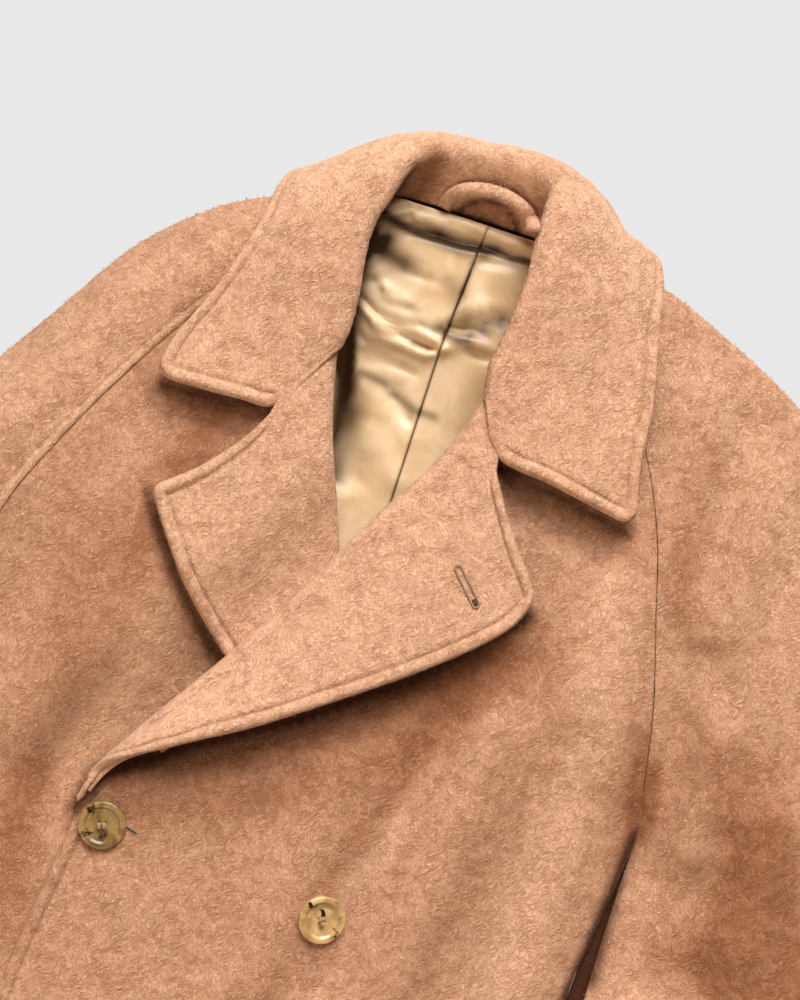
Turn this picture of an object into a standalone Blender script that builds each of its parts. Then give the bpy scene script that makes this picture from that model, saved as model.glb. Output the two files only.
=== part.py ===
# Double-breasted raglan overcoat in boiled wool, laid flat on its back.
# Tables are in millimetres: x to the wearer's left, y from the back neck seam towards the collar,
# z up from the surface that the coat lies on. Left and right are the wearer's.
import bpy
import bmesh
import numpy as np
from math import cos, pi, radians, sin
from mathutils import Matrix, Vector
from mathutils.bvhtree import BVHTree

MM = 0.001
NECK_Y = 260.0          # back neck seam, above the origin on the chest line
WOOL = 3.0              # one layer of boiled wool
COLLAR_WALL = 5.5       # under collar and top collar together
SATIN = 1.0
SEAM = 0.7              # half of the gap left at a seam, along x
LAYER_GAP = 0.4         # between a panel and what lies on it
STEPS = 2               # mesh rows between two sections of a table
ROLL_RADIUS = 2.6       # middle of the wool where a lapel turns back
BACK_LIFT = 7.5         # the back's neck lies on the collar's fall by this much
SINK_LAPELS = 18.0      # how far the under front is pressed down below the over lapel
SINK_PLAIN = 6.0        # and below the plain overlap

BUTTON_SIZE = 30.0
BUTTON_THICK = 4.6
BUTTON_STAND = 0.5      # the thread shank holds it this far off the cloth
BUTTON_ROW_PITCH = 132.0
BUTTON_ROWS = 3

# Body sections: y, left edge x, right edge x, height at the edges, height in the middle.
# The first eight lie on the raglan seams, the rest on the side seams.
BODY = (
    (-27, 88, -82, 25, 30),
    (-65, 121, -109, 28, 33),
    (-104, 151, -137, 30, 36),
    (-151, 174, -166, 31, 37),
    (-203, 190, -193, 31, 38),
    (-257, 206, -216, 28, 38),
    (-305, 216, -223, 19, 38),
    (-332, 222, -227, 9, 38),
    (-405, 215.5, -219, 4.8, 35),
    (-443, 212, -216, 4.8, 33),
    (-550, 216, -219, 4.8, 30),
    (-690, 228, -230, 4.8, 27),
    (-850, 243, -243, 4.8, 25),
    (-1000, 257, -257, 4.8, 24),
    (-1100, 266, -266, 4.8, 22),
)
RAGLAN_SECTIONS = 8
GORGE_SECTION = 2       # where the lapels start
BREAK_SECTION = 8       # where they end, at the top button

# Inner edge of each front at the same sections: neckline, roll line, then front edge.
OVER_EDGE = (83, 68, 54, 38, 8, -19.5, -48, -65, -111.5, -117, -128, -128, -124, -120, -118)
UNDER_EDGE = (-77, -66, -57, -45, -25, -5, 14, 24, 60, 80, 83, 82, 79, 77, 76)

# Lapel outlines: from the roll line past the notch to the point, then down to the front edge.
OVER_TOP = ((52, -104), (64, -136), (66.5, -146), (77, -163), (90, -182), (104, -199), (114, -212))
OVER_RIM = (
    (114, -212), (106, -232), (88, -252), (59, -277), (29, -300), (-1, -322), (-31, -343), (-56, -358),
    (-82, -375), (-100, -389), (-110, -404), (-113.5, -420),
)
UNDER_TOP = ((-56, -104), (-74, -146), (-76, -154), (-85, -171), (-97, -187), (-111, -202), (-132, -219))
UNDER_RIM = ((-132, -219), (-118, -240), (-98, -266), (-78, -287), (-58, -305), (-10, -346), (66, -412))
# How far each lapel stands off its front: share of the way down it, height.
OVER_LIFT = ((0, 0), (0.12, 3), (0.35, 9.5), (0.6, 11.5), (0.8, 9), (0.93, 3), (1, 0))
UNDER_LIFT = ((0, 0), (0.2, 3), (0.4, 2), (0.6, 0.6), (1, 0.4))
LIFTED_BY = 0.85         # share of a lapel's width over which it reaches that height

# Sleeve sections: outer edge x and y, and the rise of the cloth between the edges.
LEFT_OUTER = (
    (70, -5, 3), (124, -3, 9), (180, -22, 12), (234, -48, 14), (296, -90, 16), (348, -158, 18),
    (378, -245, 20), (394, -330, 22), (400, -440, 24), (400, -550, 23), (394, -645, 21),
)
RIGHT_OUTER = (
    (-66, -8, 3), (-110, -22, 9), (-150, -43, 12), (-190, -80, 14), (-226, -136, 16), (-268, -202, 18),
    (-305, -262, 20), (-337, -328, 22), (-372, -445, 24), (-386, -560, 23), (-390, -690, 21),
)
# Inner fold of each sleeve below the underarm: x, y.
LEFT_INNER = ((222, -332), (223, -440), (229, -550), (240, -645))
RIGHT_INNER = ((-227, -332), (-229, -445), (-236, -560), (-242, -690))

# Collar sections from the left front round the back neck to the right front. Each has the neck
# seam, the fold line, two points on the fall and its edge, as x, y, z.
COLLAR = (
    ((48, -90, 36), (43, -90, 49), (73, -124, 50), (108, -138, 47), (152, -146, 45)),
    ((51, -90, 34), (47, -84, 48), (80, -104, 47), (118, -110, 47), (155, -112, 46)),
    ((55, -80, 32), (48, -70, 49), (86, -80, 48), (120, -80, 44.5), (147.5, -79, 41)),
    ((62, -65, 29), (49, -52, 51), (86, -54, 50), (116, -52, 43), (141, -51, 37)),
    ((70, -44, 27), (50, -32, 52), (86, -28, 51), (113, -26, 43), (134, -25, 31)),
    ((76, -22, 23), (49, -14, 52), (82, -6, 49), (112, -4, 37), (129, -1, 19)),
    ((70, -10, 18), (48, 4, 51), (80, 12, 46), (111, 14, 25), (119, 11, 7)),
    ((62, -1, 13), (48, 18, 49), (73, 28, 41), (102, 17, 11), (108, -8, 3)),
    ((52, 2, 12), (45, 35, 45), (60, 44, 31), (84, 28, 5), (96, -20, 3)),
    ((28, 2, 12), (26, 40, 39), (30, 49, 20), (36, 32, 3), (48, -40, 3)),
    ((0, 2, 12), (2, 38, 37), (0, 45, 19), (0, 27, 3), (0, -44, 3)),
    ((-28, 2, 12), (-22, 34, 38), (-29, 43, 21), (-34, 26, 3), (-46, -42, 3)),
    ((-50, 0, 12), (-38, 25, 44), (-53, 33, 31), (-74, 16, 5), (-84, -28, 3)),
    ((-58, -5, 13), (-46, 7, 48), (-67, 17, 41), (-92, 4, 11), (-97, -27, 3)),
    ((-65, -14, 18), (-50, -9, 50), (-76, 1, 46), (-99, -1, 25), (-106, -8, 7)),
    ((-73, -28, 23), (-53, -24, 51), (-80, -16, 49), (-102, -14, 37), (-114, -17, 20)),
    ((-67, -47, 27), (-53, -42, 51), (-82, -38, 50), (-105, -38, 43), (-118, -42, 32)),
    ((-60, -65, 29), (-51, -60, 50), (-84, -62, 49), (-110, -66, 43), (-126, -70, 38)),
    ((-55, -81, 32), (-50, -78, 48), (-86, -86, 47), (-114, -92, 43), (-135, -97, 39.5)),
    ((-52, -92, 34), (-50, -90, 47), (-82, -114, 45.5), (-114, -120, 44), (-147, -126, 43)),
    ((-50, -92, 36), (-47, -92, 48), (-83, -136, 48), (-112, -149, 44), (-154, -153, 42)),
)

# Soft folds of the laid cloth: both ends, half width and height. A trough has a negative height.
FOLDS = (
    (28, -352, 20, -480, 26, 2.6),
    (84, -300, 68, -480, 22, -3.6),
    (118, -300, 102, -495, 22, 4.0),
    (166, -300, 160, -460, 22, -2.6),
    (-172, -186, -198, -340, 20, -5.5),
    (-112, -262, -160, -470, 19, 5.0),
    (150, -600, 110, -820, 34, -4.0),
    (-120, -640, -150, -900, 34, -4.0),
    (30, -700, 10, -980, 38, 3.5),
)
SLEEVE_FOLDS = (
    (206, -72, 214, -170, 16, -4.0),
    (240, -84, 230, -196, 16, 4.2),
    (224, -258, 227, -308, 15, -7.0),
    (250, -262, 254, -330, 17, 5.5),
    (296, -300, 300, -380, 20, 5.0),
    (274, -320, 284, -400, 17, -5.0),
    (262, -420, 372, -470, 24, -5.0),
    (380, -500, 290, -560, 22, -3.5),
    (-262, -300, -300, -420, 22, -4.5),
    (-250, -520, -360, -590, 24, -4.0),
)

ACROSS_FRONT = (0, 0.04, 0.1, 0.19, 0.31, 0.45, 0.59, 0.72, 0.84, 0.93, 1)
ACROSS_SLEEVE = (0, 0.05, 0.13, 0.26, 0.42, 0.6, 0.76, 0.88, 0.96, 1)
ACROSS_BACK = (0, 0.12, 0.3, 0.5, 0.7, 0.88, 1)
ACROSS_LAPEL = (0, 0.15, 0.36, 0.58, 0.8, 1)
ROLL_ANGLES = tuple(radians(a) for a in (36, 72, 108, 144))
FACING_INNER = 3        # columns of the front that the facing also covers inside the coat

# The crown across the body: the power of its curve, what that gains lower down, from where, over how far
CROWN_POWER = 2
CROWN_GAIN = 1.4
CROWN_FROM = 260
CROWN_OVER = 100
BODY_RIM = 0.12         # share of the width that folds fade out over
# The under front sinks by less below the lapels, and not at all past the over front's edge
SINK_FROM = 385
SINK_OVER = 90
COVERED_PAST = 75
COVERED_OVER = 62

SLEEVE_LAYER = WOOL * 1.6    # middle of a sleeve's top layer where it folds under
SLEEVE_RIM = 0.15            # share of the width that folds fade out over
SLEEVE_SEAM_LOW = 9          # between these heights the sleeve leaves its fold form for the seam's
SLEEVE_SEAM_RISE = 16
SLEEVE_POWER = 2.6
SLEEVE_FALL_POWER = 0.6
SLEEVE_SEAM_SWELL = 0.35

BACK_NECK = (57, -53, -3)    # left x, right x and y of the back's neck edge
LINING_TOP = (-5, 60, -56)   # y, left x and right x of the lining's top edge
LINING_SHORT = 7             # the lining ends this far from the raglan seams
PLEAT_LAYER = 1.6
PLEAT_DEPTH = 13.0
PLEAT_TOP_X = 15.5
PLEAT_LOW_X = 1.6
PLEAT_RUN = 205              # over this length the pleat drifts from the first x to the second
PLEAT_ROUND = 2
PLEAT_REST = 14              # where the layer beside the pleat is nearly down, and where it is flat
PLEAT_FLAT = 32
LINING_LEFT = (0, 0.25, 0.5, 0.8)
LINING_RIGHT = (0, 0.35, 0.7, 1)

FLOOR_GAP = 0.05             # under the collar
COLLAR_GAP = 1.6             # between the collar and a panel below it
COLLAR_STAND_COLUMNS = 3     # columns of the collar that belong to its stand
COLLAR_FALL_COLUMN = 8       # past this one the fall can lie behind the neck
COLLAR_FALL_HEIGHT = 20
COLLAR_BACK_Y = -60

LOOP_WIDTH = 7.5
LOOP_X = 14.5
LOOP_REACH_X = 27
LOOP_Y = 3.5
LOOP_REACH_Y = 19
LOOP_ROUND = 0.8
LOOP_OUT = (0.9, 1.0, 0.15)  # the strip's own direction: x and y shares, and what y gains
LOOP_STAND = 2.2             # above the collar's stand
LOOP_GROUND_Y = 4            # the height below it is never read nearer the neck than this
LOOP_STEPS = 13

# A button's half section, as shares of its radius and thickness
BUTTON_PROFILE = (
    (0, 0.72), (0.62, 0.72), (0.72, 0.98), (0.84, 1), (0.96, 0.8), (1, 0.55), (0.9, 0.2), (0.7, 0), (0, 0),
)
BUTTON_SIDES = 20
BUTTON_MERGE = 0.01
HOLE_RADIUS = 1.25
HOLE_OUT = 2.4
HOLE_SIDES = 8
BUTTON_SHARP = 35            # degrees
BUTTON_COLUMNS = (("over", -97, -428), ("near", 50, -442))
SEAT_RINGS = (0, 0.35, 0.7)
SEAT_ANGLES = 12
HIGH = 200                   # rays start here


def smooth(t):
    t = min(max(t, 0.0), 1.0)
    return t * t * (3 - 2 * t)


def through(points, steps):
    """Points on the Catmull-Rom curve through all of these, with this many steps between two."""
    p = np.array(points, float)
    p = np.vstack([2 * p[0] - p[1], p, 2 * p[-1] - p[-2]])
    found = []
    for a, b, c, d in zip(p, p[1:], p[2:], p[3:]):
        for t in np.arange(steps) / steps:
            found.append(0.5 * (2 * b + (c - a) * t + (2 * a - 5 * b + 4 * c - d) * t * t
                                + (3 * b - a - 3 * c + d) * t ** 3))
    found.append(p[-2])
    return np.array(found)


def along(points, fraction):
    """The point at this fraction of a polyline's length."""
    p = np.array(points, float)
    lengths = np.append(0, np.cumsum(np.linalg.norm(np.diff(p, axis=0), axis=1)))
    return np.array([np.interp(fraction * lengths[-1], lengths, p[:, k]) for k in range(p.shape[1])])


body_rows = through(BODY, STEPS)
body_fine = through(BODY, 12)
over_edge = through([(x,) for x in OVER_EDGE], STEPS)[:, 0]
under_edge = through([(x,) for x in UNDER_EDGE], STEPS)[:, 0]
seam_rows = (RAGLAN_SECTIONS - 1) * STEPS
gorge_row = GORGE_SECTION * STEPS
break_row = BREAK_SECTION * STEPS


def fold_height(x, y, folds):
    total = 0.0
    for x0, y0, x1, y1, width, height in folds:
        run = Vector((x1 - x0, y1 - y0))
        at = Vector((x - x0, y - y0))
        t = at.dot(run) / run.length_squared
        nearest = run * min(max(t, 0.0), 1.0)
        total += height * np.exp(-((at - nearest).length / width) ** 2)
    return total


def lift(x, y):
    """How far the lower layers are raised by the collar's fall beneath them."""
    return BACK_LIFT * smooth((y + 130) / 70) * smooth((190 - abs(x)) / 55)


def section(y):
    """Left x, right x, edge height and middle height of the body at this y."""
    return [np.interp(-y, -body_fine[:, 0], body_fine[:, k]) for k in range(1, 5)]


def over_height(x, y):
    """Middle of the upper layer of cloth."""
    left, right, edge, crown = section(y)
    across = min(max((x - right) / (left - right), 0.0), 1.0)
    power = CROWN_POWER + CROWN_GAIN * smooth((-y - CROWN_FROM) / CROWN_OVER)
    dome = 1 - abs(2 * across - 1) ** power
    inside = smooth(min(across, 1 - across) / BODY_RIM)
    return edge + (crown - edge) * dome + fold_height(x, y, FOLDS) * inside


def under_height(x, y):
    """Middle of the under front, pressed down where the over front lies on it."""
    over_x = np.interp(-y, -body_rows[:, 0], over_edge)
    depth = SINK_LAPELS + (SINK_PLAIN - SINK_LAPELS) * smooth((-y - SINK_FROM) / SINK_OVER)
    hidden = smooth((x - over_x + COVERED_PAST) / COVERED_OVER)
    return over_height(x, y) - depth * hidden


def back_height(x, y):
    return WOOL / 2 + lift(x, y)


def grid_normals(rows):
    """Unit normals of a rectangular grid of points."""
    g = np.array(rows, float)
    n = np.cross(np.gradient(g, axis=1), np.gradient(g, axis=0))
    return n / np.linalg.norm(n, axis=2, keepdims=True)


def moved(rows, distance):
    return np.array(rows) + grid_normals(rows) * distance


def material(name, colour, roughness):
    made = bpy.data.materials.new(name)
    made.use_nodes = True
    shader = made.node_tree.nodes["Principled BSDF"]
    shader.inputs["Base Color"].default_value = (*colour, 1)
    shader.inputs["Roughness"].default_value = roughness
    return made


def place(name, mesh, look):
    obj = bpy.data.objects.new(name, mesh)
    obj.data.materials.append(look)
    coat.objects.link(obj)
    return obj


def add_sheet(name, rows, wall, look):
    """A wall of even thickness on a surface given row by row. A row may have fewer points than the next."""
    bm = bmesh.new()
    made = [[bm.verts.new((x * MM, (y + NECK_Y) * MM, z * MM)) for x, y, z in row] for row in rows]
    for one, two in zip(made, made[1:]):
        for k in range(min(len(one), len(two)) - 1):
            bm.faces.new((one[k], two[k], two[k + 1], one[k + 1]))
    bmesh.ops.recalc_face_normals(bm, faces=bm.faces)
    mesh = bpy.data.meshes.new(name)
    bm.to_mesh(mesh)
    bm.free()
    mesh.shade_smooth()
    obj = place(name, mesh, look)
    solidify = obj.modifiers.new("wall", "SOLIDIFY")
    solidify.thickness = wall * MM
    solidify.offset = 0
    return obj


def lapel_rim(top, rim, k, rows):
    """The far ends of row k of a lapel: the first row follows its top edge, the others fan out to its rim."""
    end = along(through(rim, 6), k / rows)
    bent = [along(top, c) - (np.array(top[0]) * (1 - c) + np.array(top[-1]) * c) for c in ACROSS_LAPEL]
    return end, [b * (1 - k / rows) ** 6 for b in bent]


def front_rows(side, edges, top, rim, lifts, height):
    """Rows of one front: body from the seam to the inner edge, then roll and lapel where it has one."""
    column = 1 if side > 0 else 2
    rows = []
    for k, (y, *sides) in enumerate(body_rows[:, :3]):
        outer = sides[column - 1] - side * SEAM
        inner = edges[k]
        row = []
        for c in ACROSS_FRONT:
            x = outer + (inner - outer) * c
            row.append((x, y, height(x, y)))
        if gorge_row <= k <= break_row:
            row += lapel_points(side, edges, top, rim, lifts, height, k, row[-1])
        rows.append(row)
    return rows


def lapel_points(side, edges, top, rim, lifts, height, k, roll):
    """The turn of the cloth at the roll line and the lapel lying back on the front."""
    run = Vector((edges[k + 1] - edges[k - 1], body_rows[k + 1][0] - body_rows[k - 1][0]))
    away = Vector((run.y, -run.x)).normalized() * side
    points = []
    for angle in ROLL_ANGLES:
        reach = away * ROLL_RADIUS * sin(angle)
        points.append((roll[0] + reach.x, roll[1] + reach.y, roll[2] + ROLL_RADIUS * (1 - cos(angle))))
    end, bent = lapel_rim(top, rim, k - gorge_row, break_row - gorge_row)
    rise = np.interp((k - gorge_row) / (break_row - gorge_row), *zip(*lifts))
    for c, b in zip(ACROSS_LAPEL, bent):
        x = roll[0] * (1 - c) + end[0] * c + b[0]
        y = roll[1] * (1 - c) + end[1] * c + b[1]
        points.append((x, y, height(x, y) + 2 * ROLL_RADIUS + rise * smooth(c / LIFTED_BY)))
    return points


def facing_rows(side, rows):
    """The facing lies on the lapel and turns in with it, one layer further out."""
    first = len(ACROSS_FRONT) - FACING_INNER
    lapel = [row[first:] for row in rows[gorge_row:break_row]]
    return moved(lapel, -side * (WOOL + LAYER_GAP))


def sleeve_rows(side, outers, inners, across, height):
    """Rows of one layer of a sleeve, from the raglan seam or inner fold to the outer fold."""
    outer = through(outers, STEPS)
    free = through(inners, STEPS)
    column = 1 if side > 0 else 2
    rows = []
    for k, (outer_x, outer_y, rise) in enumerate(outer):
        if k <= seam_rows:
            inner = Vector((body_rows[k][column] + side * SEAM, body_rows[k][0]))
        else:
            inner = Vector(free[k - seam_rows])
        end = Vector((outer_x, outer_y))
        rows.append([(*inner.lerp(end, c), height(inner, end, c, rise, k)) for c in across])
    return rows


def sleeve_top_height(inner, end, c, rise, k):
    start = over_height(*inner) if k <= seam_rows else SLEEVE_LAYER
    finish = SLEEVE_LAYER + lift(*end)
    at = inner.lerp(end, c)
    inside = smooth(min(c, 1 - c) / SLEEVE_RIM)
    seamed = smooth((start - SLEEVE_SEAM_LOW) / SLEEVE_SEAM_RISE)
    fall = (start - finish) * (1 - c ** SLEEVE_POWER) ** SLEEVE_FALL_POWER
    open_swell = 1 - abs(2 * c - 1) ** SLEEVE_POWER
    swell = (1 - seamed) * open_swell + seamed * SLEEVE_SEAM_SWELL * sin(pi * c) ** 2
    return finish + fall + rise * swell + inside * fold_height(*at, SLEEVE_FOLDS)


def sleeve_back_height(inner, end, c, rise, k):
    return back_height(*inner.lerp(end, c))


def back_rows():
    left, right, y = BACK_NECK
    neck = [(x, y, back_height(x, y)) for x in np.linspace(left, right, len(ACROSS_BACK))]
    rows = [neck]
    for y, left, right in body_rows[:, :3]:
        start = left - SEAM
        end = right + SEAM
        rows.append([(x, y, back_height(x, y)) for x in (start + (end - start) * c for c in ACROSS_BACK)])
    return rows


def lining_rows():
    """Satin on the back, with a pleat that is three layers deep down its middle."""
    rise = WOOL / 2 + LAYER_GAP + SATIN / 2
    layer = PLEAT_LAYER
    rows = []
    for y, left, right in np.vstack([LINING_TOP, body_rows[:-1, :3]]):
        pleat = PLEAT_TOP_X + (PLEAT_LOW_X - PLEAT_TOP_X) * min(-y / PLEAT_RUN, 1)
        under = pleat - PLEAT_DEPTH
        start = left - LINING_SHORT
        end = right + LINING_SHORT
        flat = under - PLEAT_FLAT
        row = [(x, 0) for x in start + (pleat - start) * np.array(LINING_LEFT)]
        row += [(under + PLEAT_ROUND, 0), (under, layer / 2), (under + PLEAT_ROUND, layer)]
        row += [(pleat - PLEAT_ROUND, layer), (pleat, layer * 1.5), (pleat - PLEAT_ROUND, layer * 2)]
        row += [(under, layer * 2), (under - PLEAT_REST, layer * 0.8)]
        row += [(x, 0) for x in flat + (end - flat) * np.array(LINING_RIGHT)]
        rows.append([(x, y, back_height(x, y) + rise + up) for x, up in row])
    return rows


def collar_rows(ground):
    """A ribbon round the neck: stand, roll and fall, kept above the panels and the floor."""
    flat = through([np.array(points).ravel() for points in COLLAR], STEPS)
    rows = []
    for numbers in flat:
        curve = through(numbers.reshape(-1, 3), 3)
        row = []
        for k, (x, y, z) in enumerate(curve):
            low = COLLAR_WALL / 2 + FLOOR_GAP
            over_back = z < COLLAR_FALL_HEIGHT and y > COLLAR_BACK_Y and k > COLLAR_FALL_COLUMN
            if k > COLLAR_STAND_COLUMNS and not over_back:
                hit = ground.ray_cast(Vector((x, y, HIGH)), Vector((0, 0, -1)))[0]
                low = hit.z + (WOOL + COLLAR_WALL) / 2 + COLLAR_GAP if hit else low
            row.append((x, y, max(z, low)))
        rows.append(row)
    return rows


def loop_rows(ground):
    """A flat strip of cloth, both ends in the neck seam, lying against the collar's stand."""
    share_x, share_y, gain_y = LOOP_OUT
    rows = []
    for t in np.linspace(0, pi, LOOP_STEPS):
        x = LOOP_X - LOOP_REACH_X * cos(t)
        y = LOOP_Y + LOOP_REACH_Y * sin(t) ** LOOP_ROUND
        out = Vector((-share_x * cos(t), share_y * sin(t) + gain_y)).normalized() * LOOP_WIDTH / 2
        row = []
        for way in (-1, 1):
            px = x + out.x * way
            py = y + out.y * way
            hit = ground.ray_cast(Vector((px, max(py, LOOP_GROUND_Y), HIGH)), Vector((0, 0, -1)))[0]
            row.append((px, py, hit.z + (WOOL + COLLAR_WALL) / 2 + LOOP_STAND))
        rows.append(row)
    return rows


def button_mesh():
    """A turned horn button with a raised rim and four holes."""
    r = BUTTON_SIZE / 2 * MM
    t = BUTTON_THICK * MM
    points = [(a * r, 0, b * t) for a, b in BUTTON_PROFILE]
    mesh = bpy.data.meshes.new("button")
    mesh.from_pydata(points, [(k, k + 1) for k in range(len(points) - 1)], [])
    turned = bpy.data.objects.new("button_blank", mesh)
    coat.objects.link(turned)
    screw = turned.modifiers.new("turn", "SCREW")
    screw.steps = BUTTON_SIDES
    screw.render_steps = BUTTON_SIDES
    screw.use_merge_vertices = True
    screw.merge_threshold = BUTTON_MERGE * MM
    for x, y in ((1, 1), (-1, 1), (-1, -1), (1, -1)):
        bpy.ops.mesh.primitive_cylinder_add(
            vertices=HOLE_SIDES,
            radius=HOLE_RADIUS * MM,
            depth=3 * t,
            location=(x * HOLE_OUT * MM, y * HOLE_OUT * MM, 0),
        )
        hole = bpy.context.object
        hole.hide_render = True
        hole.display_type = "WIRE"
        for group in hole.users_collection:
            group.objects.unlink(hole)
        cutters.objects.link(hole)
        cut = turned.modifiers.new("hole", "BOOLEAN")
        cut.operation = "DIFFERENCE"
        cut.object = hole
    bpy.context.view_layer.update()
    made = bpy.data.meshes.new_from_object(turned.evaluated_get(bpy.context.evaluated_depsgraph_get()))
    bpy.data.objects.remove(turned)
    for hole in list(cutters.objects):
        bpy.data.objects.remove(hole)
    made.set_sharp_from_angle(angle=radians(BUTTON_SHARP))
    return made


def button_seat(cloth, x, y):
    """Where a button's middle rests and how it leans: level with the cloth under its rim."""
    def height(dx, dy):
        return cloth.ray_cast(Vector((x + dx, y + dy, HIGH)), Vector((0, 0, -1)))[0].z

    reach = BUTTON_SIZE / 2
    slope_x = (height(reach, 0) - height(-reach, 0)) / BUTTON_SIZE
    slope_y = (height(0, reach) - height(0, -reach)) / BUTTON_SIZE
    highest = -HIGH
    for share in SEAT_RINGS:
        for angle in np.arange(SEAT_ANGLES) * 2 * pi / SEAT_ANGLES:
            dx = cos(angle) * reach * share
            dy = sin(angle) * reach * share
            highest = max(highest, height(dx, dy) - slope_x * dx - slope_y * dy)
    normal = Vector((-slope_x, -slope_y, 1)).normalized()
    return Vector((x, y, highest)) + normal * (WOOL / 2 + BUTTON_STAND), normal


def add_buttons(cloth, look):
    mesh = button_mesh()
    mesh.materials.append(look)
    for name, x, y in BUTTON_COLUMNS:
        for k in range(BUTTON_ROWS):
            obj = bpy.data.objects.new(f"button_{name}_{k + 1}", mesh)
            coat.objects.link(obj)
            foot, normal = button_seat(cloth, x, y - k * BUTTON_ROW_PITCH)
            turn = normal.to_track_quat("Z", "Y").to_matrix().to_4x4()
            obj.matrix_world = Matrix.Translation((foot + Vector((0, NECK_Y, 0))) * MM) @ turn


def ground_of(sheets):
    points = []
    faces = []
    for rows in sheets:
        made = []
        for row in rows:
            made.append(range(len(points), len(points) + len(row)))
            points += [tuple(p) for p in row]
        for one, two in zip(made, made[1:]):
            faces += [(one[k], two[k], two[k + 1], one[k + 1]) for k in range(min(len(one), len(two)) - 1)]
    return BVHTree.FromPolygons(points, faces)


for old in list(bpy.data.objects):
    bpy.data.objects.remove(old)
coat = bpy.data.collections.new("overcoat")
cutters = bpy.data.collections.new("cutters")
cutters.hide_render = True
bpy.context.scene.collection.children.link(coat)
bpy.context.scene.collection.children.link(cutters)

wool = material("boiled_wool", (0.63, 0.33, 0.19), 0.95)
satin = material("satin", (0.55, 0.4, 0.23), 0.35)
horn = material("horn", (0.42, 0.33, 0.2), 0.3)

over = front_rows(1, over_edge, OVER_TOP, OVER_RIM, OVER_LIFT, over_height)
under = front_rows(-1, under_edge, UNDER_TOP, UNDER_RIM, UNDER_LIFT, under_height)
over_facing = facing_rows(1, over)
under_facing = facing_rows(-1, under)
left_sleeve = sleeve_rows(1, LEFT_OUTER, LEFT_INNER, ACROSS_SLEEVE, sleeve_top_height)
right_sleeve = sleeve_rows(-1, RIGHT_OUTER, RIGHT_INNER, ACROSS_SLEEVE, sleeve_top_height)
panels = ground_of((over, under, over_facing, under_facing, left_sleeve, right_sleeve))

add_sheet("back", back_rows(), WOOL, wool)
add_sheet("back_lining", lining_rows(), SATIN, satin)
add_sheet("front_left", over, WOOL, wool)
add_sheet("front_right", under, WOOL, wool)
add_sheet("facing_left", over_facing, WOOL, wool)
add_sheet("facing_right", under_facing, WOOL, wool)
add_sheet("sleeve_left_front", left_sleeve, WOOL, wool)
add_sheet("sleeve_right_front", right_sleeve, WOOL, wool)
for name, side, outers, inners in (("sleeve_left_back", 1, LEFT_OUTER, LEFT_INNER),
                                   ("sleeve_right_back", -1, RIGHT_OUTER, RIGHT_INNER)):
    add_sheet(name, sleeve_rows(side, outers, inners, ACROSS_BACK, sleeve_back_height), WOOL, wool)
collar = collar_rows(panels)
add_sheet("collar", collar, COLLAR_WALL, wool)
add_sheet("hanger_loop", loop_rows(ground_of([collar])), WOOL, wool)
add_buttons(ground_of([over]), horn)
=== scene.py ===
import bpy
import numpy as np
from math import cos, pi, radians, sin
from mathutils import Matrix, Vector
from mathutils.bvhtree import BVHTree


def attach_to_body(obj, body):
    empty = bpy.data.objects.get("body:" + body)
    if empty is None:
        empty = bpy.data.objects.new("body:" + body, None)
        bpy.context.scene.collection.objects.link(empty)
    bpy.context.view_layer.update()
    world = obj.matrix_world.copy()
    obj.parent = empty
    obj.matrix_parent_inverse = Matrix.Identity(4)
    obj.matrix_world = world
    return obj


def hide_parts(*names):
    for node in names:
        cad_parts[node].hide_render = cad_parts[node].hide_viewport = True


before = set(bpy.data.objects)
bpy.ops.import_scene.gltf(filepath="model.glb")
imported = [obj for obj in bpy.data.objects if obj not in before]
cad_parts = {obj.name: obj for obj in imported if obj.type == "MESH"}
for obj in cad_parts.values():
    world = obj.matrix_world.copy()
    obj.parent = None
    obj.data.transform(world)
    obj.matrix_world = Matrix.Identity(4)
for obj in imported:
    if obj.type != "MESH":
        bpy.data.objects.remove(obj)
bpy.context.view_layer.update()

# The coat's own sizes are in millimetres: x to the wearer's left, y from the back neck seam
# towards the collar, z up from the floor. Blender gets metres, with the origin at the chest.
mm = 0.001
neckY = 260.0

cloth = {
    "wool": 3.0,           # one layer
    "collar": 5.5,         # two layers sewn together
    "satin": 0.8,
    "layerGap": 0.4,
    "seamGap": 0.12,
    "rollRadius": 2.6,     # where a lapel turns back
    "stitchIn": 8.6,       # top stitching, from the edge
    "edgeRise": 2.0,       # how far the edge puffs up outside the stitches
    "grooveDepth": 0.7,
    "grooveWidth": 1.2,
    "corner": 7.0,         # rounding of the lapels' corners
    "leafCorner": 15.0,    # and of the collar's
    "backLift": 7.5,       # the neck lies on the collar's fall by this much
    "sinkLapels": 18.0,    # the under front is pressed down by the over front
    "sinkPlain": 6.0,
    "stitchFade": 1.2,     # stitches and lumps fade out this near an edge
    "lumpFade": 4.0,
    "lumpSize": 9.0,       # slow unevenness of the felted wool
    "lumpHeight": 0.35,
    "seamPuff": 0.9,       # a raised seam allowance beside a sewn seam
    "seamWide": 7.0,
    "seamLine": 0.45,      # and a faint line at its end
    "seamLineIn": 7.3,
    "seamLineWide": 0.9,
    "seamSharper": 5.0,    # a sewn edge is rounded this much less than a free one
    "stitchShade": 0.2,    # painted shade in a stitched groove, a joint and a seam's line: how dark each is
    "jointShade": 0.12,
    "lineShade": 0.07,
    "shadeWide": 0.8,
}

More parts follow.
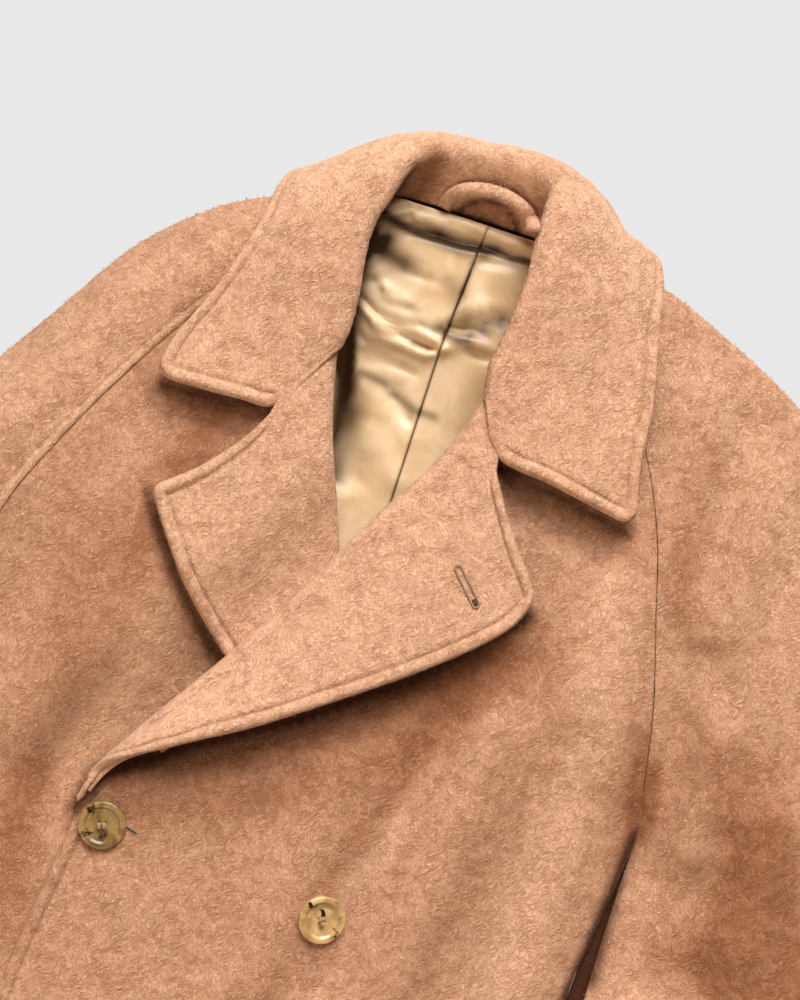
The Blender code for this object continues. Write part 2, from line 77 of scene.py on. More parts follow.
# y, left edge, right edge, height at the edges, height in the middle
bodySections = np.array((
    (-27, 88, -82, 25, 30),
    (-65, 121, -109, 28, 33),
    (-104, 151, -137, 30, 36),
    (-151, 174, -166, 31, 37),
    (-203, 190, -193, 31, 38),
    (-257, 206, -216, 28, 38),
    (-305, 216, -223, 19, 38),
    (-332, 222, -227, 9, 38),
    (-405, 215.5, -219, 4.8, 35),
    (-443, 212, -216, 4.8, 33),
    (-550, 216, -219, 4.8, 30),
    (-690, 228, -230, 4.8, 27),
    (-850, 243, -243, 4.8, 25),
    (-1000, 257, -257, 4.8, 24),
    (-1100, 266, -266, 4.8, 22),
), float)
raglanEnd = 7      # section at the underarm
gorge = 2          # section where the lapels start
breakAt = 8        # and where they end, at the top button
hem = len(bodySections) - 1

# inner edge of each front at those sections: neckline, roll line, front edge
overEdge = np.array((83, 68, 54, 38, 8, -19.5, -48, -65, -111.5, -117, -128, -128, -124, -120, -118), float)
underEdge = np.array((-77, -66, -57, -45, -25, -5, 14, 24, 60, 80, 83, 82, 79, 77, 76), float)

# lapel outlines: from the roll line past the notch to the point, then down to the front edge
overTop = ((52, -104), (64, -136), (66.5, -146), (77, -163), (90, -182), (104, -199), (114, -212))
overRim = ((114, -212), (106, -232), (88, -252), (59, -277), (29, -300), (-1, -322), (-31, -343), (-56, -358),
           (-82, -375), (-100, -389), (-110, -404), (-113.5, -420))
underTop = ((-56, -104), (-74, -146), (-76, -154), (-85, -171), (-97, -187), (-111, -202), (-132, -219))
underRim = ((-132, -219), (-118, -240), (-98, -266), (-78, -287), (-58, -305), (-10, -346), (66, -412))

# sleeve sections: outer edge x, y and the rise of the cloth between its edges
leftOuter = np.array((
    (70, -5, 3), (124, -3, 9), (180, -22, 12), (234, -48, 14), (296, -90, 16), (348, -158, 18),
    (378, -245, 20), (394, -330, 22), (400, -440, 24), (400, -550, 23), (394, -645, 21),
), float)
rightOuter = np.array((
    (-66, -8, 3), (-110, -22, 9), (-150, -43, 12), (-190, -80, 14), (-226, -136, 16), (-268, -202, 18),
    (-305, -262, 20), (-337, -328, 22), (-372, -445, 24), (-386, -560, 23), (-390, -690, 21),
), float)
leftInner = np.array(((222, -332), (223, -440), (229, -550), (240, -645)), float)
rightInner = np.array(((-227, -332), (-229, -445), (-236, -560), (-242, -690)), float)
# the sleeves' backs reach nearer the body than their tops do
leftBackInner = np.array(((222, -332), (212.8, -440), (217, -550), (226, -645)), float)
rightBackInner = np.array(((-227, -332), (-217, -445), (-220.5, -560), (-231, -690)), float)

# soft folds: the points of each one's line, half width, height; a trough is negative
frontFolds = (
    (28, -352, 18, -505, 16, 5.7),
    (-6, -390, -12, -500, 16, -3.9),
    (84, -300, 68, -480, 16, -6.8),
    (118, -300, 102, -495, 16, 7.0),
    (166, -300, 160, -460, 20, -3.4),
    (200, -215, 206, -300, 15, 3.9),
    (-158, -186, -186, -262, -202, -340, 18, -5.5),
    (-112, -262, -152, -360, -160, -470, 17, 4.5),
    (150, -600, 110, -820, 34, -5.2),
    (-120, -640, -150, -900, 34, -5.2),
    (30, -700, 10, -980, 38, 4.5),
)
sleeveFolds = (
    (206, -72, 214, -170, 14, -5.7),
    (240, -84, 230, -196, 14, 6.0),
    (224, -262, 227, -308, 14, -7.0),
    (250, -262, 254, -330, 16, 8.5),
    (296, -300, 300, -380, 19, 7.2),
    (274, -320, 284, -400, 16, -7.2),
    (262, -420, 372, -470, 24, -6.5),
    (380, -500, 290, -560, 22, -4.5),
    (-262, -300, -300, -420, 22, -5.9),
    (-250, -520, -360, -590, 24, -5.2),
)

# where the fronts are pressed down, below the collar's leaves and the over lapel
pressedFolds = (
    (92, -256, 60, -286, -24, -352, -60, -372, 21, -6.5),
    (84, -160, 150, -170, 17, -6.0),
    (-152, -170, -96, -168, 15, -5.0),
)

# painted shade of the folds: darker in their valleys and beside the lapels, lighter where a share is
# negative;
# the points of each line, half width, share
paintedShadeFronts = (
    (-108, -170, -120, -213, -125, -260, 20, 0.6),
    (-133, -290, -140, -350, -150, -410, -162, -465, 17, 0.3),
    (124, -246, 75, -308, 27, -354, -26, -388, -87, -413, 18, 0.45),
    (104, -254, 79, -314, 59, -371, 43, -441, 35, -494, 13, 0.35),
    (156, -276, 136, -353, 122, -428, 116, -468, 12, 0.2),
    (206, -268, 214, -310, 12, 0.3),
    (-151, -414, -144, -456, -134, -505, 18, 0.4),
    (102, -252, 54, -299, 15, -337, -50, -374, 11, 0.35),
    (-164, -250, -158, -340, 15, 0.25),
    (211, -285, 222, -350, 10, 0.4),
    (215, -289, 216, -307, 219, -332, 9, 0.5),
    (-122, -225, -96, -290, -116, -351, -134, -389, 13, -0.4),
    (162, -197, 173, -270, 171, -322, 173, -386, 168, -451, 19, -0.35),
    (78, -371, 57, -423, 39, -467, 9, -0.3),
)
paintedShadeSleeves = (
    (-166, -155, -186, -227, -199, -290, 20, -0.3),
    (-110, -32, -150, -50, -194, -90, -237, -155, 15, 0.25),
    (237, -71, 185, -32, 127, -14, 12, 0.25),
    (195, -161, 216, -205, 12, 0.25),
    (215, -289, 216, -307, 219, -332, 9, 0.5),
    (271, -392, 303, -394, 334, -391, 24, 0.5),
    (289, -271, 304, -298, 18, 0.4),
    (192, -91, 190, -124, 193, -162, 201, -197, 12, 0.3),
    (216, -301, 226, -324, 12, 0.6),
    (258, -279, 285, -322, 300, -400, 24, 0.6),
    (310, -330, 340, -400, 26, 0.7),
)
# painted shade on the collar: inside its left roll and inside the hanger loop
paintedShadeCollar = (
    (-28, 28, -33, 4, -39, -22, -41, -50, 8, 0.9),
    (6, 8, 24, 8, 8, 0.6),
)
# painted shadow below an edge that lies on the cloth, inside the collar and the loop, and between sleeve and
# body
paintedShadowFronts = (
    (-66, -144, -96, -153, -146, -158, 4.5, 0.8),
    (68, -142, 104, -146, 156, -156, 4.0, 0.8),
    (-134, -224, -112, -256, -66, -306, 4.5, 0.7),
    (112, -224, 59, -281, -1, -326, -60, -363, -108, -398, -117, -424, 6.0, 1.0),
    (112, -230, 59, -287, -1, -332, -60, -369, -108, -404, 13.0, 0.3),
    (220, -333, 217, -379, 214, -413, 210, -450, 4.5, 1.0),
)
paintedShadowCollar = (
    (-43, 26, -46, 11, -48, -6, -49, -23, 7, 0.8),
    (-6, 3, -2, 9, 6, 14, 15, 15.5, 24, 14, 31, 8.5, 34, 3, 2.4, 0.9),
)
paintedShadowSleeves = ((220, -335, 222, -379, 224, -430, 5, 0.8),)
frontPaintedShade = 0.35      # painted shade over each whole front; their nap lies the other way from the lapels'
# painted shade over each whole sleeve top
sleevePaintedShade = 0.2

# distances from an edge at which a sheet gets extra rows: the rounded rim, then the stitches
nearEdge = np.array((0, 0.25, 0.7, 1.3, 2.2, 3.6, 5.4, 7.0, 7.9, 8.6, 9.3, 10.2, 12.0))
plainEdge = np.array((0, 0.25, 0.7, 1.3, 2.2, 4.0))
fineSteps = 1400       # how finely a curve is measured
fineBelow = -548.0     # rows are close together down to here, where the photo ends


def smooth(t):
    t = np.clip(t, 0.0, 1.0)
    return t * t * (3 - 2 * t)


def bell(distance, middle, width):
    return np.exp(-((distance - middle) / width) ** 2)


def curveAt(points, t):
    # the Catmull-Rom curve through all of the points; t counts them
    p = np.asarray(points, float)
    p = np.concatenate([2 * p[:1] - p[1:2], p, 2 * p[-1:] - p[-2:-1]])
    t = np.clip(np.asarray(t, float), 0, len(p) - 3)
    i = np.minimum(t.astype(int), len(p) - 4)
    f = (t - i).reshape(t.shape + (1,) * (p.ndim - 1))
    a, b, c, d = p[i], p[i + 1], p[i + 2], p[i + 3]
    return 0.5 * (2 * b + (c - a) * f + (2 * a - 5 * b + 4 * c - d) * f ** 2
                  + (3 * b - a - 3 * c + d) * f ** 3)


def along(points, share):
    # the point at this share of a polyline's length
    p = np.asarray(points, float)
    steps = np.append(0, np.cumsum(np.linalg.norm(np.diff(p, axis=0), axis=1)))
    return np.stack([np.interp(share * steps[-1], steps, p[:, k]) for k in range(p.shape[1])], axis=-1)


def finely(points):
    return curveAt(points, np.linspace(0, len(points) - 1, (len(points) - 1) * 8 + 1))


def foldHeight(x, y, folds):
    total = np.zeros(np.broadcast(x, y).shape)
    for *path, width, height in folds:
        points = np.reshape(path, (-1, 2))
        away = np.full(total.shape, np.inf)
        for (x0, y0), (x1, y1) in zip(points[:-1], points[1:]):
            rx, ry = x1 - x0, y1 - y0
            t = np.clip(((x - x0) * rx + (y - y0) * ry) / (rx * rx + ry * ry), 0, 1)
            away = np.minimum(away, np.hypot(x - x0 - t * rx, y - y0 - t * ry))
        total += height * bell(away, 0, width)
    return total


fineRows = np.linspace(0, hem, hem * 12 + 1)
bodyFine = curveAt(bodySections, fineRows)
overFine = curveAt(overEdge, fineRows)


def lift(x, y):
    # the collar's fall lies under the back at the neck
    return cloth["backLift"] * smooth((y + 130) / 70) * smooth((190 - np.abs(x)) / 55)


def overHeight(x, y):
    left, right, edge, crown = [np.interp(-y, -bodyFine[:, 0], bodyFine[:, k]) for k in range(1, 5)]
    share = np.clip((x - right) / (left - right), 0, 1)
    # a round dome at the chest, flatter with steeper sides below it; no folds at the sides
    dome = 1 - np.abs(2 * share - 1) ** (2 + 1.4 * smooth((-y - 260) / 100))
    inside = smooth(np.minimum(share, 1 - share) / 0.12)
    return edge + (crown - edge) * dome + foldHeight(x, y, frontFolds) * inside


def underHeight(x, y):
    # the over front presses it down from 75 mm outside its edge on, less below the lapels
    overX = np.interp(-y, -bodyFine[:, 0], overFine)
    depth = cloth["sinkLapels"] + (cloth["sinkPlain"] - cloth["sinkLapels"]) * smooth((-y - 385) / 90)
    return overHeight(x, y) - depth * smooth((x - overX + 75) / 62)


def overPressed(x, y):
    return overHeight(x, y) + foldHeight(x, y, pressedFolds)


def underPressed(x, y):
    return underHeight(x, y) + foldHeight(x, y, pressedFolds)


def underCrossed(x, y):
    # the under lapel's hidden end lies below the over lapel's edge
    return underHeight(x, y) + foldHeight(x, y, pressedFolds[:1])


def backHeight(x, y):
    return cloth["wool"] / 2 + lift(x, y)


def spaced(lengths, middle, start=nearEdge, end=nearEdge):
    # shares across rows of these lengths: close together by an edge, even between
    rows = []
    for length in np.atleast_1d(lengths):
        a = np.array((0.0,)) if start is None else start
        b = np.array((0.0,)) if end is None else end
        squeeze = min(1.0, length / (2.2 * (a[-1] + b[-1]) + 1e-9))
        a = a * squeeze / length
        b = 1 - b[::-1] * squeeze / length
        rows.append(np.concatenate([a, np.linspace(a[-1], b[0], middle + 2)[1:-1], b]))
    return np.array(rows)


def normals(grid):
    n = np.cross(np.gradient(grid, axis=1), np.gradient(grid, axis=0))
    n /= np.maximum(np.linalg.norm(n, axis=2, keepdims=True), 1e-9)
    return n


def sideDistances(grid):
    # how far each point is from the first and last column and the first and last row
    across = np.linalg.norm(np.diff(grid, axis=1), axis=2)
    down = np.linalg.norm(np.diff(grid, axis=0), axis=2)
    first = np.concatenate([np.zeros((len(grid), 1)), np.cumsum(across, axis=1)], axis=1)
    top = np.concatenate([np.zeros((1, grid.shape[1])), np.cumsum(down, axis=0)], axis=0)
    return first, first[:, -1:] - first, top, top[-1:] - top


def cornerCut(grid, row, radius):
    # rounds the corner of this row and the last column: what lies within the radius of both edges
    # moves towards the radius's middle
    first, last, top, low = sideDistances(grid)
    a = last / radius
    b = (top if row == 0 else low) / radius
    middle = np.unravel_index(np.argmin((a - 1) ** 2 + (b - 1) ** 2), a.shape)
    a, b = np.clip(1 - a, 0, 1), np.clip(1 - b, 0, 1)
    size = np.hypot(a, b)
    share = np.where((a > 0) & (b > 0), np.maximum(a, b) / np.maximum(size, 1e-9), 1.0)[..., None]
    return grid[middle] * (1 - share) + grid * share


def rounded(distance, half):
    # half a wall's thickness near an edge that is rounded like a half circle
    t = np.clip(distance / half, 0, 1)
    return half * np.sqrt(np.clip(1 - (1 - t) ** 2, 0, 1)) + 0.02


def stitched(distance):
    # the edge puffs up outside a line of stitches, the stitches sink in and the cloth rises again
    puff = cloth["edgeRise"] * np.sin(pi * np.clip(distance / cloth["stitchIn"], 0, 1)) ** 0.7
    inward = distance - cloth["stitchIn"]
    return puff + 0.5 * bell(inward, 3.2, 2.2) - cloth["grooveDepth"] * bell(inward, 0, cloth["grooveWidth"])


def seamed(distance):
    # a raised seam allowance, with a faint line at its end
    puff = cloth["seamPuff"] * np.sin(pi * np.clip(distance / cloth["seamWide"], 0, 1))
    return puff - cloth["seamLine"] * bell(distance, cloth["seamLineIn"], cloth["seamLineWide"])


def shaded(stitches, seams):
    # painted shade in a stitched groove or a sewn joint: how deep each point lies in one, for the wool's
    # colour
    line = cloth["stitchShade"] * bell(stitches, cloth["stitchIn"], cloth["shadeWide"])
    joint = (cloth["jointShade"] * bell(seams, 0, cloth["shadeWide"])
             + cloth["lineShade"] * bell(seams, cloth["seamLineIn"], cloth["shadeWide"]))
    return np.clip(np.maximum(line, joint), 0, 1)


def paintedShadeAlong(grid, lines, base=0.0):
    # painted shade along these lines, over a base of painted shade
    return np.clip(base + foldHeight(grid[..., 0], grid[..., 1], lines), 0, 1)


def twice(shade, nap):
    # the same two values for both sides of a wall: painted shade in grooves, joints and shadows, and painted
    # shade of the folds
    nap = np.zeros_like(shade) if nap is None else nap
    return np.tile(np.stack([shade.ravel(), nap.ravel()], axis=-1), (2, 1))


def lumps(grid, seed):
    # a few crossing waves of uneven length
    random = np.random.default_rng(seed)
    total = np.zeros(grid.shape[:2])
    for _ in range(14):
        angle = random.uniform(0, pi)
        length = cloth["lumpSize"] * random.uniform(0.9, 3.2)
        wave = (grid[..., 0] * cos(angle) + grid[..., 1] * sin(angle)) / length * 2 * pi
        total += np.sin(wave + random.uniform(0, 6.28) + 1.3 * np.sin(wave * 0.37 + random.uniform(0, 6.28)))
    return total * cloth["lumpHeight"] / 3.7


def material(name):
    made = bpy.data.materials.new(name)
    made.use_nodes = True
    return made


def meshObject(name, points, faces, look, attributes=()):
    mesh = bpy.data.meshes.new(name)
    faces = np.asarray(faces, dtype=np.int32)
    size = faces.shape[1]
    world = np.asarray(points, float).copy()
    world[:, 1] += neckY
    mesh.vertices.add(len(world))
    mesh.vertices.foreach_set("co", (world * mm).astype(np.float32).ravel())
    mesh.loops.add(faces.size)
    mesh.loops.foreach_set("vertex_index", faces.ravel())
    mesh.polygons.add(len(faces))
    mesh.polygons.foreach_set("loop_start", np.arange(0, faces.size, size, dtype=np.int32))
    mesh.update(calc_edges=True)
    mesh.validate()
    mesh.shade_smooth()
    obj = bpy.data.objects.new(name, mesh)
    bpy.context.scene.collection.objects.link(obj)
    mesh.materials.append(look)
    for title, values in attributes:
        layer = mesh.uv_layers.new(name=title)
        layer.data.foreach_set("uv", values[faces.ravel()].astype(np.float32).ravel())
    return obj


def shellMesh(grid, up, down):
    # a closed wall: the grid moved out by up and in by down, joined round its edge
    n = normals(grid)
    rows, columns = grid.shape[:2]
    outer = grid + n * up[..., None]
    inner = grid - n * down[..., None]
    points = np.concatenate([outer.reshape(-1, 3), inner.reshape(-1, 3)])
    index = np.arange(rows * columns).reshape(rows, columns)
    quads = np.stack([index[:-1, :-1], index[1:, :-1], index[1:, 1:], index[:-1, 1:]], axis=-1)
    quads = quads.reshape(-1, 4)
    under = rows * columns
    edge = np.concatenate([index[0, :-1], index[:-1, -1], index[-1, :0:-1], index[:0:-1, 0]])
    following = np.roll(edge, -1)
    rim = np.stack([edge, following, following + under, edge + under], axis=-1)
    faces = np.concatenate([quads, quads[:, ::-1] + under, rim])
    # the winding that points outwards depends on which way the grid runs
    middle = rows // 2, columns // 2
    a, b, c = outer[middle], outer[middle[0] + 1, middle[1]], outer[middle[0] + 1, middle[1] + 1]
    if np.dot(np.cross(b - a, c - a), n[middle]) < 0:
        faces = faces[:, ::-1]
    return points, faces


def evenShell(grid, thick):
    half = rounded(np.min(sideDistances(grid), axis=0), thick / 2)
    return shellMesh(grid, half, half)


def woolWall(grid, seed, thick, edges, relief, reliefShare=1.0, lumpShare=1.0, face=1):
    # rounded at these edges, with stitches, seams and lumps on its face only
    closest = np.min(sideDistances(grid), axis=0)
    plain = rounded(np.min(edges, axis=0), thick / 2)
    raised = plain + relief * smooth(closest / cloth["stitchFade"]) * reliefShare
    raised += lumps(grid, seed) * smooth(closest / cloth["lumpFade"]) * lumpShare
    return shellMesh(grid, raised, plain) if face > 0 else shellMesh(grid, plain, raised)


def joined(parts):
    points, faces, count = [], [], 0
    for p, f in parts:
        points.append(p)
        faces.append(f + count)
        count += len(p)
    return np.concatenate(points), np.concatenate(faces)


def treeOf(*names):
    # the walls of these pieces, for rays
    points, faces = joined([built[name][2] for name in names])
    return BVHTree.FromPolygons(points.tolist(), faces.tolist())


def hitBelow(tree, x, y):
    # where a ray from above meets the cloth
    return tree.ray_cast(Vector((x, y, 200)), Vector((0, 0, -1)))[0]


def cellCrosses(grid):
    # a normal for each cell, as long as the cell's area
    return np.cross(grid[1:, :-1] - grid[:-1, :-1], grid[:-1, 1:] - grid[:-1, :-1])


def attach(obj, node=None):
    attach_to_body(obj, "root")
    if node:
        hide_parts(node)


built = {}      # each cloth piece: its object, grid, wall and its painted shade


def build(name, grid, parts, shades=None, look=None):
    # shades are the painted shade at each point, in grooves, joints and shadows and of the folds, for the
    # material
    creases = (("paintedShade", twice(*shades)),) if shades else ()
    built[name] = meshObject(name, *parts, look or wool, creases), grid, parts, shades


def sectionSide(sections, side):
    return sections[:, 1 if side > 0 else 2]


def rowsByHeight(fine, coarse):
    # section numbers for rows this far apart, close together in the part that the photo shows
    t = np.linspace(0, hem, fineSteps)
    y = curveAt(bodySections, t)[:, 0]
    wanted = np.concatenate([np.arange(y[0], fineBelow, -fine), np.arange(fineBelow, y[-1], -coarse), [y[-1]],
                             y[0] - nearEdge[1:5], y[-1] + nearEdge[1:]])
    return np.interp(-np.unique(wanted)[::-1], -y, t)


# fronts: rows this far apart above and below the photo's edge, and the widest row
fronts = {"fine": 4.8, "coarse": 14.0, "wide": 290}


def bodyGrid(side, edges, height):
    t = rowsByHeight(fronts["fine"], fronts["coarse"])
    sections = curveAt(bodySections, t)
    outer = sectionSide(sections, side) - side * cloth["seamGap"]
    inner = curveAt(edges, t)
    share = spaced(abs(inner - outer), int(fronts["wide"] / fronts["fine"]))
    x = outer[:, None] + (inner - outer)[:, None] * share
    y = np.broadcast_to(sections[:, :1], x.shape)
    return np.stack([x, y, height(x, y)], axis=-1), t


def bodyShell(grid, t, seed):
    seam, free, top, low = sideDistances(grid)
    # the front edge is stitched below the lapel only
    opened = smooth((t - breakAt + 0.15) / 0.3)[:, None]
    edges = seam * cloth["seamSharper"], free, top, low
    parts = woolWall(grid, seed, cloth["wool"], edges, stitched(free) * opened)
    # painted shade in the grooves and the joint, painted shadow below the edges, and painted shade of the
    # folds
    shade = shaded(np.where(opened > 0.5, free, np.inf), seam)
    shade = np.maximum(shade, paintedShadeAlong(grid, paintedShadowFronts))
    return parts, shade, paintedShadeAlong(grid, paintedShadeFronts, frontPaintedShade)


# lapels; the lifts are how far they stand off the fronts: share of the way down, height
lapels = {"fine": 3.4, "inset": 1.6, "hiddenFine": 6.0, "wide": 150, "seamShare": 0.3,
          "sectionRun": 46,        # along the roll line, from one section to the next
          "tucked": (18.0, 17.7, 17.2, 16.0, 12.0, 7.0, 3.0),      # columns that lie flat inside the roll
          "rollSteps": 11,
          "flatFrom": 0.86,        # where the roll starts to flatten, and by how much
          "flatBy": 0.7,
          "topBend": 6,            # how fast the notch's outline straightens down the lapel
          "overLift": ((0, 5.0), (0.15, 7.0), (0.35, 9.5), (0.6, 11.5), (0.8, 9.0), (0.93, 3.0), (1, 0)),
          "underLift": ((0, 3.0), (0.2, 4.0), (0.45, 5.0), (0.62, 2.0), (0.75, 0), (1, 0))}


def lapelGrid(side, edges, top, rim, height, lifts, fine, inset=0.0, turned=True):
    # rows down a lapel: first round the roll, then out to its edge
    near = nearEdge / lapels["sectionRun"]
    fine = fine / lapels["sectionRun"]
    reach = breakAt - gorge
    t = gorge + np.concatenate([near, np.arange(near[-1] + fine, reach, fine), [reach]])
    down = (t - gorge) / reach
    ahead, behind = t + 0.02, t - 0.02
    rollX = curveAt(edges, t)
    rollY = curveAt(bodySections, t)[:, 0]
    runX = curveAt(edges, ahead) - curveAt(edges, behind)
    runY = curveAt(bodySections, ahead)[:, 0] - curveAt(bodySections, behind)[:, 0]
    size = np.hypot(runX, runY)
    awayX, awayY = side * runY / size, -side * runX / size
    rollZ = height(rollX, rollY)
    # the roll flattens where the lapel runs into the front edge
    flat = smooth((down - lapels["flatFrom"]) / (1 - lapels["flatFrom"]))
    radius = cloth["rollRadius"] * (1 - lapels["flatBy"] * flat)
    columns = []
    if turned:
        outer = sectionSide(curveAt(bodySections, t), side)
        for back in lapels["tucked"]:
            x = rollX + np.sign(outer - rollX) * np.minimum(back, 0.4 * abs(outer - rollX))
            columns.append(np.stack([x, rollY, height(x, rollY)], axis=-1))
    for angle in np.linspace(0, pi, lapels["rollSteps"])[0 if turned else 2:-1]:
        out = radius * sin(angle)
        columns.append(np.stack([rollX + awayX * out, rollY + awayY * out,
                                 rollZ + radius * (1 - cos(angle))], axis=-1))
    end = along(finely(rim), down)
    lengths = np.hypot(end[:, 0] - rollX, end[:, 1] - rollY)
    share = spaced(lengths, int(lapels["wide"] / lapels["sectionRun"] / fine), None)
    share = share * (1 - inset / lengths)[:, None]
    straight = np.array(top[0]) * (1 - share[..., None]) + np.array(top[-1]) * share[..., None]
    bent = (along(finely(top), share) - straight) * ((1 - down) ** lapels["topBend"])[:, None, None]
    x = rollX[:, None] * (1 - share) + end[:, :1] * share + bent[..., 0]
    y = rollY[:, None] * (1 - share) + end[:, 1:] * share + bent[..., 1]
    rise = np.interp(down, *zip(*lifts))[:, None] * smooth(share / 0.85)
    z = height(x, y) + 2 * radius[:, None] + rise
    grid = np.concatenate([np.stack(columns, axis=1), np.stack([x, y, z], axis=-1)], axis=1)
    return cornerCut(grid, 0, cloth["corner"])


def facingShell(side, grid, notchX, seed):
    grid = grid - normals(grid) * side * (cloth["wool"] + cloth["layerGap"])
    first, last, top, low = sideDistances(grid)
    # its top edge is sewn to the collar up to the notch and free beyond
    free = smooth((side * (grid[0, :, 0] - notchX)) / 2)[None, :] > 0.5
    edge = np.minimum(last, np.where(free, top, np.inf))
    seam = np.where(free, np.inf, top)
    relief = stitched(edge) + seamed(seam) * lapels["seamShare"]
    shown = smooth((first - 30) / 12)
    # the grid's normals point out of the cloth's face on one side of the coat only
    parts = woolWall(grid, seed, cloth["wool"], (first, last, top, low), relief, shown, shown, -side)
    # painted shade in the stitched groove and the seam
    return grid, parts, (shaded(edge, seam) * shown, None)


# sleeves: rows this far apart above and below the photo's edge, the widest row, the section at that
# edge and how many layers high the tops' outer edges lie
sleeves = {"top": (5.0, 14.0), "back": (14, 22), "wide": 170, "fineTo": 8.6, "edgeLayers": 1.6}


def sleeveGrid(side, outers, inners, fine, coarse, height):
    t = np.linspace(0, len(outers) - 1, fineSteps)
    outer = curveAt(outers, t)
    steps = np.append(0, np.cumsum(np.hypot(np.diff(outer[:, 0]), np.diff(outer[:, 1]))))
    split = np.interp(sleeves["fineTo"], t, steps)
    near = nearEdge[:5]
    wanted = np.concatenate([near, np.arange(near[-1] + fine, split, fine),
                             np.arange(split, steps[-1], coarse), steps[-1] - nearEdge])
    t = np.interp(np.unique(wanted), steps, t)
    outer = curveAt(outers, t)
    seam = curveAt(bodySections, np.minimum(t, raglanEnd))
    seamX = sectionSide(seam, side) + side * cloth["seamGap"]
    free = curveAt(inners, np.maximum(t - raglanEnd, 0))
    inner = np.where((t > raglanEnd)[:, None], free, np.stack([seamX, seam[:, 0]], axis=-1))
    lengths = np.hypot(outer[:, 0] - inner[:, 0], outer[:, 1] - inner[:, 1])
    share = spaced(lengths, int(sleeves["wide"] / fine), nearEdge, plainEdge)
    at = inner[:, None] * (1 - share[..., None]) + outer[:, None, :2] * share[..., None]
    z = height(inner, outer, share, at, t)
    return np.concatenate([at, z[..., None]], axis=-1), t


def sleeveTop(inner, outer, share, at, t):
    # from the front's height at the seam down to the floor at the outer edge, with a soft swell
    low = cloth["wool"] * sleeves["edgeLayers"]
    start = overHeight(inner[:, 0], inner[:, 1])
    start = (start + (low - start) * smooth((t - raglanEnd) / 0.25))[:, None]
    finish = (low + lift(outer[:, 0], outer[:, 1]))[:, None]
    inside = smooth(np.minimum(share, 1 - share) / 0.15)
    sewn = smooth((start - 9) / 16)
    fall = (start - finish) * (1 - share ** 2.6) ** 0.6
    swell = (1 - sewn) * (1 - np.abs(2 * share - 1) ** 2.6) + sewn * 0.35 * np.sin(pi * share) ** 2
    return finish + fall + outer[:, 2:] * swell + inside * foldHeight(at[..., 0], at[..., 1], sleeveFolds)


def sleeveBack(inner, outer, share, at, t):
    return backHeight(at[..., 0], at[..., 1])


def sleeveShell(grid, t, seed, shown):
    first, last, top, low = sideDistances(grid)
    edges = first * np.where(t < raglanEnd, cloth["seamSharper"], 1.0)[:, None], last, top, low
    if not shown:
        # a back shows only in the gap beside the body, and gets painted shade there
        half = rounded(np.min(edges, axis=0), cloth["wool"] / 2)
        return shellMesh(grid, half, half), (1.0 - smooth(first / 60 - 0.6), None)
    sewn = smooth((raglanEnd + 0.1 - t) / 0.3)[:, None]
    parts = woolWall(grid, seed, cloth["wool"], edges, seamed(first) * sewn + stitched(low))
    # painted shade in the grooves and the seam, painted shadow in the gap by the body, and painted shade of
    # the folds
    shade = shaded(low, np.where(sewn > 0.5, first, np.inf))
    shade = np.maximum(shade, paintedShadeAlong(grid, paintedShadowSleeves))
    return parts, (shade, paintedShadeAlong(grid, paintedShadeSleeves, sleevePaintedShade))


# the back: rows this far apart above and below the photo's edge, columns, both ends of the neck seam
backForm = {"fine": 12, "coarse": 20, "columns": 24, "neckLeft": 57, "neckRight": -53}


def backGrid():
    t = rowsByHeight(backForm["fine"], backForm["coarse"])
    sections = curveAt(bodySections, t)
    start = sections[:, 1] - cloth["seamGap"]
    end = sections[:, 2] + cloth["seamGap"]
    share = spaced(start - end, backForm["columns"], plainEdge, plainEdge)
    x = start[:, None] + (end - start)[:, None] * share
    y = np.broadcast_to(sections[:, :1], x.shape)
    # the first rows run up to the neck seam
    neck = np.array((-2.0, -2.25, -2.7, -4.0, -10.0, -18.0))
    neckX = backForm["neckLeft"] + (backForm["neckRight"] - backForm["neckLeft"]) * share[:1]
    blend = ((neck + 2) / (sections[0, 0] + 2))[:, None]
    x = np.concatenate([neckX * (1 - blend) + x[:1] * blend, x])
    y = np.concatenate([np.broadcast_to(neck[:, None], (len(neck), x.shape[1])), y])
    return np.stack([x, y, backHeight(x, y)], axis=-1)


